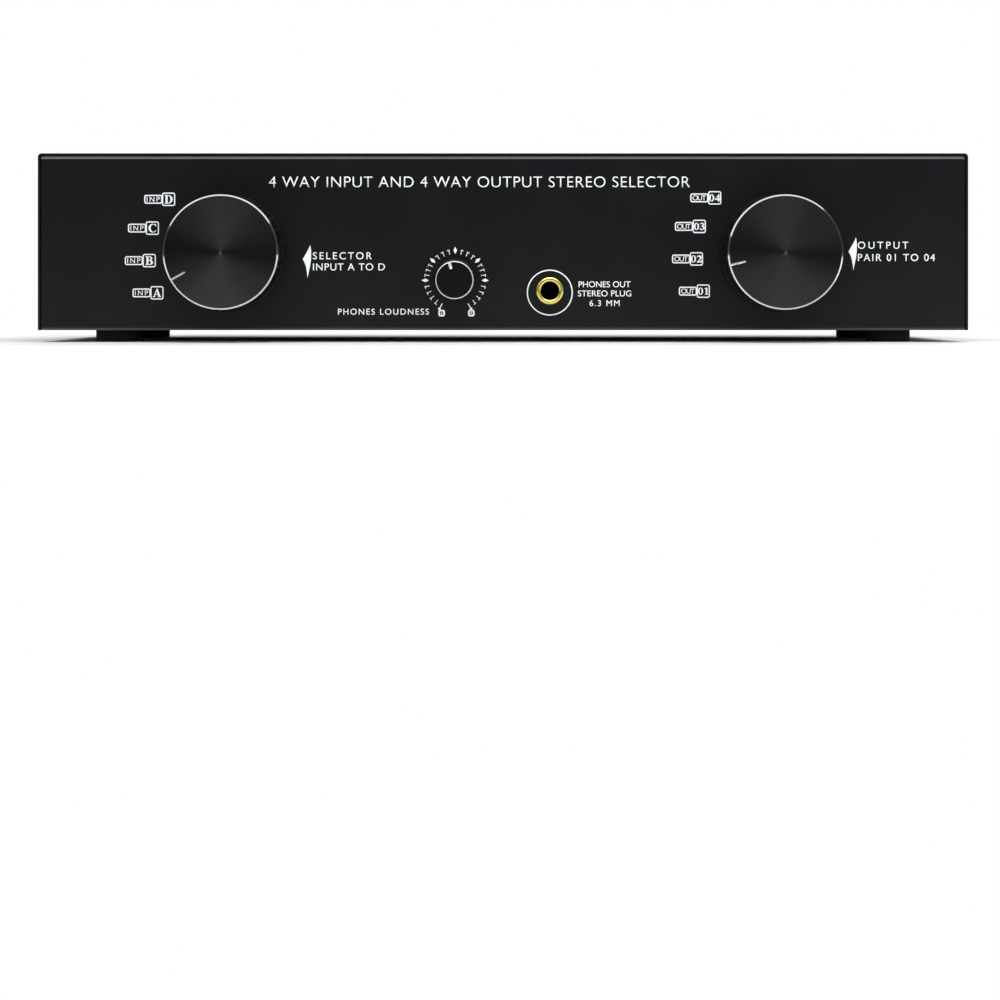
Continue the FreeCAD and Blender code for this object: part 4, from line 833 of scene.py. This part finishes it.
@dataclass
class PanelPrint:
    """Screen print on one panel, gathered piece by piece and joined at the end.

    Places run right and up as they are read, in mm from the middle of the case and its bottom.
    """

    side: Side
    panel: float
    bottom: float = 4.2
    thickness: float = 0.02
    line: float = 0.4
    letter_gap: float = 0.1
    prints: list[Piece] = field(default_factory=list)

    def put(self, shape: Piece, lift: float = 0.0) -> Piece:
        """Stand a flat shape that was drawn on the XY plane up on the panel and keep it."""
        reading, outward = self.side.value
        shape.rotation_euler = (math.pi / 2, 0, 0 if reading > 0 else math.pi)
        shape.location = Vector((0, self.panel + outward * lift, self.bottom)) * MM
        settle(shape)
        self.prints.append(shape)
        return shape

    def thicken(self) -> None:
        """Give the flat faces of the open edit mesh the thickness of the ink."""
        bpy.ops.mesh.select_all(action="SELECT")
        bpy.ops.mesh.extrude_region_move(TRANSFORM_OT_translate={"value": (0, 0, self.thickness * MM)})
        bpy.ops.mesh.select_all(action="SELECT")
        bpy.ops.mesh.normals_make_consistent(inside=False)
        bpy.ops.object.mode_set(mode="OBJECT")

    def bar(self, start: Point, end: Point, wide: float | None = None) -> None:
        """Print a straight line between two places."""
        across = Vector((end[0] - start[0], end[1] - start[1], 0))
        middle = ((start[0] + end[0]) / 2, (start[1] + end[1]) / 2)
        strip = self.sheet(middle, across.length, wide or self.line, math.atan2(across.y, across.x))
        self.thicken()
        self.put(strip)

    def frame(self, middle: Point, wide: float, tall: float, corner: float = 0.7,
              line: float | None = None) -> None:
        """Print the outline of a box with round corners."""
        box = self.sheet(middle, wide, tall)
        bpy.ops.mesh.bevel(offset=corner * MM, segments=4, affect="VERTICES")
        self.hollow(line or self.line)
        self.thicken()
        self.put(box)

    def sheet(self, middle: Point, wide: float, tall: float, turn: float = 0.0) -> Piece:
        """Lay a flat rectangle on the XY plane and open it in edit mode."""
        release()
        bpy.ops.mesh.primitive_plane_add(size=1.0, location=(middle[0] * MM, middle[1] * MM, 0),
                                         rotation=(0, 0, turn))
        laid = bpy.context.object
        laid.scale = Vector((wide, tall, 1)) * MM
        edit_all(settle(laid))
        return laid

    def disc(self, middle: Point, radius: float, filled: bool = False, corners: int = 48) -> None:
        """Print a circle, as an outline or filled."""
        release()
        bpy.ops.mesh.primitive_circle_add(vertices=corners, radius=radius * MM, fill_type="NGON",
                                          location=(middle[0] * MM, middle[1] * MM, 0))
        round_shape = settle(bpy.context.object)
        edit_all(round_shape)
        if not filled:
            self.hollow(self.line)
        self.thicken()
        self.put(round_shape)

    def hollow(self, line: float) -> None:
        """Keep only the outline of the selected face, as wide as a line in mm."""
        bpy.ops.mesh.inset(thickness=line * MM, depth=0)
        bpy.ops.mesh.delete(type="FACE")

    def contours(self, outlines: Sequence[Sequence[Point]], corner: Point = (0.0, 0.0), tall: float = 1.0,
                 lift: float = 0.0) -> Piece:
        """Print a shape given by its outlines one unit high; inner outlines are left open."""
        drawing = bpy.data.curves.new("outline", "CURVE")
        drawing.dimensions = "2D"
        drawing.fill_mode = "BOTH"
        for points in outlines:
            spline = drawing.splines.new("POLY")
            spline.points.add(len(points) - 1)
            for spot, (x, y) in zip(spline.points, points):
                spot.co = ((corner[0] + x * tall) * MM, (corner[1] + y * tall) * MM, 0, 1)
            spline.use_cyclic_u = True
        shape = bpy.data.objects.new("outline", drawing)
        bpy.context.collection.objects.link(shape)
        return self.inked(as_mesh(shape), lift)

    def inked(self, shape: Piece, lift: float = 0.0) -> Piece:
        """Clean a flat mesh, give it the thickness of the ink and put it on the panel."""
        edit_all(shape)
        bpy.ops.mesh.remove_doubles(threshold=INK_WELD * MM)
        self.thicken()
        return self.put(shape, lift)

    def roman(self, words: str, middle: Point, tall: float, lift: float = 0.0) -> list[Piece]:
        """Print bold roman capitals or figures round a middle place."""
        widths = [max(x for outline in ROMAN[letter] for x, _ in outline) for letter in words]
        start = middle[0] - (sum(widths) + self.letter_gap * (len(words) - 1)) * tall / 2
        made = []
        for letter, width in zip(words, widths):
            made.append(self.contours(ROMAN[letter], (start, middle[1] - tall / 2), tall, lift))
            start += (width + self.letter_gap) * tall
        return made

    def words(self, text: str, middle: Point, tall: float, wide: float, bold: float = 0.0) -> None:
        """Print plain capitals round a middle place.

        Args:
            text: The words.
            middle: Place of their middle, in mm.
            tall: Height of the capitals in mm.
            wide: Length in mm to which they are spaced out.
            bold: How far each letter's outline grows, in parts of its height.
        """
        release()
        bpy.ops.object.text_add()
        shape = bpy.context.object
        shape.data.body = text
        shape.data.offset = bold
        for _ in range(3):
            bpy.context.view_layer.update()
            size = tall / shape.dimensions.y
            shape.data.space_character *= wide / (shape.dimensions.x * size)
        shape = as_mesh(shape)
        corners = [Vector(corner) for corner in shape.bound_box]
        low = Vector(map(min, zip(*corners)))
        high = Vector(map(max, zip(*corners)))
        scale = tall / (high.y - low.y) * MM
        shape.scale = (scale, scale, MM)
        centre = (low + high) / 2
        shape.location = (middle[0] * MM - centre.x * scale, middle[1] * MM - centre.y * scale, 0)
        self.inked(settle(shape))

    def finish(self, name: str) -> Piece:
        """Join all that is printed into one piece that rides on the case."""
        ink = paint(joined(name, self.prints), WHITE_INK)
        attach(ink, CASE)
        LOG.info("%s printed", name)
        return ink


@dataclass
class FrontLegend:
    """Print of the front panel: boxed letters and numbers, arrows, volume scale and words."""

    letters: tuple[tuple[str, float, float], ...] = (
        ("A", -121.3, 13.1), ("B", -124.0, 24.4), ("C", -122.9, 35.8), ("D", -117.2, 45.9))
    numbers: tuple[tuple[str, float, float], ...] = (
        ("01", 70.2, 13.7), ("02", 67.8, 25.0), ("03", 68.8, 36.4), ("04", 74.2, 46.4))
    box: float = 4.6
    tag_wide: float = 6.3
    tag_tall: float = 3.1
    sign_tall: tuple[float, float] = (3.0, 2.5)
    tag_words: tuple[float, float] = (1.75, 4.6)
    scale_middle: Point = (-16.75, 17.5)
    main_marks: tuple[float, ...] = (180.0, 138.7, 90.0, 41.5, 0.0)
    end_marks: tuple[float, float] = (241.0, -61.0)
    mark_reach: tuple[float, float] = (9.2, 11.8)
    small_mark: tuple[float, float] = (10.6, 0.24)
    hook_reach: float = 10.75
    arrow: tuple[Point, ...] = (
        (0.0, 0.0), (1.1, 1.9), (2.05, 3.6), (2.65, 5.0), (2.95, 2.6), (2.9, 0.0), (2.6, -2.4), (2.1, -4.6),
        (1.7, -6.6), (1.45, -4.4), (1.1, -2.4), (0.5, -0.9))
    arrow_tips: tuple[Point, ...] = ((-70.2, 24.9), (121.1, 27.6))
    lines: tuple[tuple[str, Point, float, float, float], ...] = (
        ("4 WAY INPUT AND 4 WAY OUTPUT STEREO SELECTOR", (-8.3, 52.0), 3.8, 147.6, -0.008),
        ("SELECTOR", (-56.3, 26.1), 2.5, 20.7, 0.0),
        ("INPUT A TO D", (-54.0, 22.2), 2.5, 25.2, 0.0),
        ("OUTPUT", (133.2, 29.8), 2.5, 17.8, 0.0),
        ("PAIR 01 TO 04", (137.9, 25.5), 2.5, 27.0, 0.0),
        ("PHONES LOUDNESS", (-41.9, 6.5), 2.1, 31.9, 0.0),
        ("PHONES OUT", (35.6, 16.1), 2.1, 18.2, 0.0),
        ("STEREO PLUG", (35.6, 12.9), 2.1, 18.7, 0.0),
        ("6.3 MM", (35.6, 9.5), 2.1, 10.5, 0.0))
    socket_ring: tuple[Point, float] = ((16.4, 13.2), 8.05)
    end_signs: tuple[tuple[float, bool], ...] = ((-21.5, False), (-11.1, True))
    end_sign_row: float = 6.0

    def tagged(self, ink: PanelPrint, tag: str, sign: str, across: float, up: float) -> None:
        """Print one boxed sign with the small tag box on its left."""
        ink.frame((across, up), self.box, self.box + 0.1)
        ink.roman(sign, (across, up), self.sign_tall[len(sign) - 1])
        tag_place = (across - (self.box + self.tag_wide) / 2 + 0.05, up)
        ink.frame(tag_place, self.tag_wide, self.tag_tall)
        ink.words(tag, tag_place, *self.tag_words)

    def round_place(self, angle: float, reach: float) -> Point:
        """Place at an angle and a distance from the middle of the volume scale."""
        turn = math.radians(angle)
        return (self.scale_middle[0] + reach * math.cos(turn), self.scale_middle[1] + reach * math.sin(turn))

    def spoke(self, ink: PanelPrint, angle: float, near: float, far: float, wide: float) -> None:
        """Print a short line that points away from the middle of the scale."""
        ink.bar(self.round_place(angle, near), self.round_place(angle, far), wide)

    def volume_scale(self, ink: PanelPrint) -> None:
        """Print the scale: five diamonds, two round end marks and hooked small marks between."""
        near, far = self.mark_reach
        for angle in self.main_marks:
            ink.contours([[self.round_place(angle, far), self.round_place(angle + 3.4, 10.5),
                           self.round_place(angle, near), self.round_place(angle - 3.4, 10.5)]])
        for angle in self.end_marks:
            self.spoke(ink, angle, 9.3, 11.2, 0.35)
            ink.disc(self.round_place(angle, 11.4), 0.5, filled=True, corners=20)
        bounds = (self.end_marks[0], *self.main_marks, self.end_marks[1])
        for (start, end), count in zip(zip(bounds, bounds[1:]), (5, 4, 4, 4, 4, 5)):
            pitch = (end - start) / count
            lean = 1 if start > 90 else -1
            for step in range(1, count):
                angle = start + pitch * step
                self.spoke(ink, angle, near, *self.small_mark)
                hook = [self.round_place(angle + lean + half, self.hook_reach) for half in (-2.6, 2.6)]
                ink.bar(*hook, self.small_mark[1])

    def build(self) -> None:
        """Print the whole panel."""
        ink = PanelPrint(Side.FRONT, FRONT)
        for sign, across, up in self.letters:
            self.tagged(ink, "INP", sign, across, up)
        for sign, across, up in self.numbers:
            self.tagged(ink, "OUT", sign, across, up)
        for tip in self.arrow_tips:
            ink.contours([[(tip[0] + x, tip[1] + y) for x, y in self.arrow]])
        for line in self.lines:
            ink.words(*line)
        self.volume_scale(ink)
        ink.disc(*self.socket_ring, corners=96)
        up = self.end_sign_row
        for across, upright in self.end_signs:
            ink.frame((across, up), 2.3, 2.3, line=0.55)
            ink.bar((across - 0.35, up), (across + 0.35, up), 0.3)
            if upright:
                ink.bar((across, up - 0.35), (across, up + 0.35), 0.3)
        ink.finish("front_print")


@dataclass
class RearLegend:
    """Print of the rear panel: group brackets, boxed words, numbered circles and lettered discs."""

    pitch: float = 38.1
    outer: float = 155.4
    base: float = 6.9
    mark_row: float = 33.5
    bend: float = 2.4
    box_tall: float = 4.0
    side_box: tuple[float, float] = (14.1, 3.9)
    word_box: tuple[float, float] = (22.4, 18.6)
    disc_radius: float = 4.0
    end_bars: tuple[Point, ...] = ((9.3, 19.0), (23.2, 44.1), (48.3, 55.2))
    plus_row: float = 46.2
    minus_row: float = 21.1

    def bracket(self, ink: PanelPrint, left: float, right: float, legend: str) -> None:
        """Print the line under one group with its three boxes."""
        middle = (left + right) / 2
        half = (right - left) / 2
        away, small = self.side_box
        boxes = ((middle - away, small, "R", 2.2), (middle, self.word_box[0], legend, self.word_box[1]),
                 (middle + away, small, "L", 1.9))
        for across, wide, text, length in boxes:
            ink.frame((across, self.base), wide, self.box_tall)
            ink.words(text, (across, self.base), 2.35, length, 0.014)
        for sign in (-1, 1):
            joint = middle + sign * 11.68
            ink.bar((joint - 0.5, self.base), (joint + 0.5, self.base), 1.1)
            edge = middle + sign * 16.05
            end = middle + sign * (half - self.bend)
            ink.bar((edge, self.base), (end, self.base))
            turn = arc((end, self.base + self.bend), (self.bend, self.bend), -90, -90 + 90 * sign, 8)
            for start, stop in zip(turn, turn[1:]):
                ink.bar(start, stop)

    def dividers(self, ink: PanelPrint) -> None:
        """Print the thick bars between the groups and the thin lines at both ends."""
        for number in range(-3, 4):
            across = number * self.pitch
            ink.bar((across, 27.6), (across, 39.4), 0.85)
            ink.bar((across, self.base + self.bend), (across, 13.5), 0.85)
        for across in (-self.outer, self.outer):
            for low, high in self.end_bars:
                ink.bar((across, low), (across, high), 0.5)
            for up in (self.plus_row, self.minus_row):
                ink.disc((across, up), 2.15)
                ink.bar((across - 1.05, up), (across + 1.05, up), 0.5)
            ink.bar((across, self.plus_row - 1.05), (across, self.plus_row + 1.05), 0.5)

    def build(self) -> None:
        """Print the whole panel; the words read from behind."""
        ink = PanelPrint(Side.REAR, REAR)
        self.dividers(ink)
        dark = []
        signs = ("04", "03", "02", "01", "D", "C", "B", "A")
        for number, sign in enumerate(signs):
            centre = (number - (len(signs) - 1) / 2) * self.pitch
            left = -self.outer if number == 0 else centre - self.pitch / 2
            right = self.outer if number == len(signs) - 1 else centre + self.pitch / 2
            is_input = len(sign) == 1
            self.bracket(ink, left, right, "SIGNAL IN" if is_input else "SIGNAL OUT")
            ink.disc((centre, self.mark_row), self.disc_radius, filled=is_input, corners=64)
            tall, lift = (4.4, 0.03) if is_input else (3.6, 0.0)
            letters = ink.roman(sign, (centre, self.mark_row), tall, lift)
            if is_input:
                dark += letters
            for way in (-1, 1):
                reach = [(centre + away * way, self.mark_row) for away in (self.disc_radius, 6.3)]
                ink.bar(*reach, 0.4)
        ink.prints = [shape for shape in ink.prints if shape not in dark]
        ink.finish("rear_print")
        letters = paint(joined("rear_disc_letters", dark), BLACK_INK)
        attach(letters, CASE)


@dataclass
class Insides:
    """Finishes of the pieces inside the case."""

    finishes: tuple[tuple[Finish, tuple[str, ...]], ...] = (
        (CIRCUIT_BOARD, ("terminal_board", "phones_board")),
        (ZINC, ("switch_frames",)),
        (PHENOLIC, ("switch_wafers",)),
        (TINNED, ("switch_lugs",)),
        (STEEL, ("switch_stack_screws", "panel_nuts", "input_shaft", "output_shaft", "volume_shaft")),
        (NYLON, ("input_rotors", "output_rotors")),
        (TINPLATE, ("volume_pot",)),
        (CEMENT, ("resistors",)),
        (WIRE_JACKET, ("bus_wires",)))

    def build(self) -> None:
        """Dress every inner node."""
        for finish, nodes in self.finishes:
            dress(finish, *nodes)


# Room


@dataclass(frozen=True)
class Lamp:
    """One soft rectangular lamp, in metres and watts, aimed at the object."""

    name: str
    place: Place
    wide: float
    tall: float
    power: float
    mirrored: bool = True

    def build(self) -> None:
        """Hang the lamp and aim it at the middle of the object."""
        release()
        bpy.ops.object.light_add(type="AREA", location=self.place)
        lamp = bpy.context.object
        lamp.name = self.name
        lamp.data.shape = "RECTANGLE"
        lamp.data.size = self.wide
        lamp.data.size_y = self.tall
        lamp.data.energy = self.power
        lamp.visible_camera = False
        lamp.visible_glossy = self.mirrored
        aim = Vector((0, 0, 0.03)) - Vector(self.place)
        lamp.rotation_euler = aim.to_track_quat("-Z", "Y").to_euler()


@dataclass(frozen=True)
class Flag:
    """One dark card that only reflections see, as hung round glossy black goods; sizes in metres."""

    name: str
    place: Place
    wide: float
    tall: float
    turn: Place = (90.0, 0.0, 0.0)
    glow: float = 0.05

    def build(self) -> None:
        """Hang the card."""
        release()
        bpy.ops.mesh.primitive_plane_add(size=1.0, location=self.place)
        card = bpy.context.object
        card.name = self.name
        card.scale = (self.wide, self.tall, 1)
        card.rotation_euler = [math.radians(angle) for angle in self.turn]
        made = bpy.data.materials.new(self.name)
        made.use_nodes = True
        tree = made.node_tree
        light = add_node(tree, "Emission", {"Color": linear("#ffffff"), "Strength": self.glow})
        tree.links.new(light.outputs[0], tree.nodes["Material Output"].inputs["Surface"])
        card.data.materials.append(made)
        card.visible_camera = False
        card.visible_diffuse = False
        card.visible_shadow = False
        card.visible_transmission = False


@dataclass
class Studio:
    """Pale floor, white surroundings, soft lamps, dark cards and the camera."""

    lamps: tuple[Lamp, ...] = (
        Lamp("top_front", (0.0, -0.62, 1.05), 1.3, 0.3, 9.0),
        Lamp("front_fill", (-0.5, -2.6, 0.6), 1.2, 0.8, 15.0, mirrored=False),
        Lamp("right_strip", (1.1, -0.75, 0.45), 0.16, 0.8, 4.5),
        Lamp("rear_soft", (0.2, 0.9, 1.05), 1.3, 0.35, 9.0),
        Lamp("rear_fill", (0.5, 2.6, 0.6), 1.2, 0.8, 15.0, mirrored=False))
    flags: tuple[Flag, ...] = (
        Flag("front_card", (0.0, -1.55, 0.6), 3.0, 1.2),
        Flag("rear_card", (0.0, 1.55, 0.6), 3.0, 1.2),
        Flag("front_table_card", (0.0, -0.9, 0.002), 3.0, 1.3, turn=(0.0, 0.0, 0.0)),
        Flag("rear_table_card", (0.0, 0.92, 0.002), 3.0, 1.26, turn=(0.0, 0.0, 0.0)),
        Flag("left_card", (-0.62, -0.45, 0.14), 1.1, 0.28, turn=(90.0, 0.0, 90.0)),
        Flag("right_card", (0.62, -0.45, 0.27), 1.1, 0.54, turn=(90.0, 0.0, 90.0)))
    ambient: float = 0.42
    camera_place: Place = (0.0, -0.91145, 0.0162)
    lens: float = 87.3
    shift: Point = (-0.003, -0.204)
    floor_half: float = 30.0
    clear_from: float = 0.25
    clear_to: float = 0.7

    def surroundings(self) -> None:
        """Make the world white where it is seen and a plain grey light elsewhere."""
        world = bpy.data.worlds.new("studio_white")
        bpy.context.scene.world = world
        world.use_nodes = True
        tree = world.node_tree
        seen = self.seen(tree)
        level = add_node(tree, "MapRange", {"To Min": self.ambient, "To Max": 1.0}, {"Value": seen})
        sky = tree.nodes["Background"]
        sky.inputs["Color"].default_value = linear("#ffffff")
        tree.links.new(level.outputs[0], sky.inputs["Strength"])

    def seen(self, tree: bpy.types.NodeTree) -> bpy.types.NodeSocket:
        """Return 1 for rays that show a surface to the camera or in a reflection."""
        rays = add_node(tree, "LightPath").outputs
        either = rays["Is Camera Ray"]
        for kind in ("Is Glossy Ray", "Is Transmission Ray"):
            either = add_node(tree, "Math", None, {0: either, 1: rays[kind]},
                              operation="MAXIMUM").outputs[0]
        return either

    def floor(self) -> None:
        """Lay a pale floor that keeps the object's shadow and fades to white far away."""
        release()
        bpy.ops.mesh.primitive_plane_add(size=2 * self.floor_half, location=(0, 0, 0))
        floor = bpy.context.object
        floor.name = "floor"
        made = bpy.data.materials.new("pale_floor")
        made.use_nodes = True
        tree = made.node_tree
        shader = tree.nodes["Principled BSDF"]
        shader.inputs["Base Color"].default_value = linear("#f4f4f4")
        shader.inputs["Roughness"].default_value = 0.9
        shader.inputs["Specular IOR Level"].default_value = 0.0
        spot = add_node(tree, "TexCoord").outputs["Object"]
        away = add_node(tree, "VectorMath", None, {0: spot}, operation="LENGTH").outputs["Value"]
        fade = add_node(tree, "MapRange", {"From Min": self.clear_from, "From Max": self.clear_to},
                        {"Value": away}, interpolation_type="SMOOTHSTEP").outputs[0]
        share = add_node(tree, "Math", None, {0: fade, 1: self.seen(tree)},
                         operation="MULTIPLY").outputs[0]
        white = add_node(tree, "Emission", {"Color": linear("#ffffff"), "Strength": 1.0}).outputs[0]
        mixed = add_node(tree, "MixShader", None,
                         {0: share, 1: shader.outputs[0], 2: white}).outputs[0]
        tree.links.new(mixed, tree.nodes["Material Output"].inputs["Surface"])
        floor.data.materials.append(made)

    def camera(self) -> None:
        """Stand the camera level in front of the panel, as far away as for the photograph."""
        release()
        bpy.ops.object.camera_add(location=self.camera_place, rotation=(math.pi / 2, 0, 0))
        camera = bpy.context.object
        camera.data.lens = self.lens
        camera.data.shift_x, camera.data.shift_y = self.shift
        camera.data.clip_start = 0.01
        bpy.context.scene.camera = camera

    def build(self) -> None:
        """Set up the room."""
        bpy.context.scene.view_settings.view_transform = "Standard"
        self.surroundings()
        self.floor()
        for fitting in (*self.lamps, *self.flags):
            fitting.build()
        self.camera()


def main() -> None:
    """Build the room, then every sub-assembly."""
    logging.basicConfig(level=logging.INFO, format="%(name)s: %(message)s")
    assemblies = (
        Studio(), CaseWork(), Insides(),
        SelectorKnob("input_selector", "input_knob", -96.5, 209.6),
        SelectorKnob("output_selector", "output_knob", 96.5, 193.3),
        VolumeKnob(), PhoneSocket(), BindingPosts(), FrontLegend(), RearLegend())
    for assembly in assemblies:
        assembly.build()
        LOG.info("%s built", type(assembly).__name__)


if __name__ == "__main__":
    main()
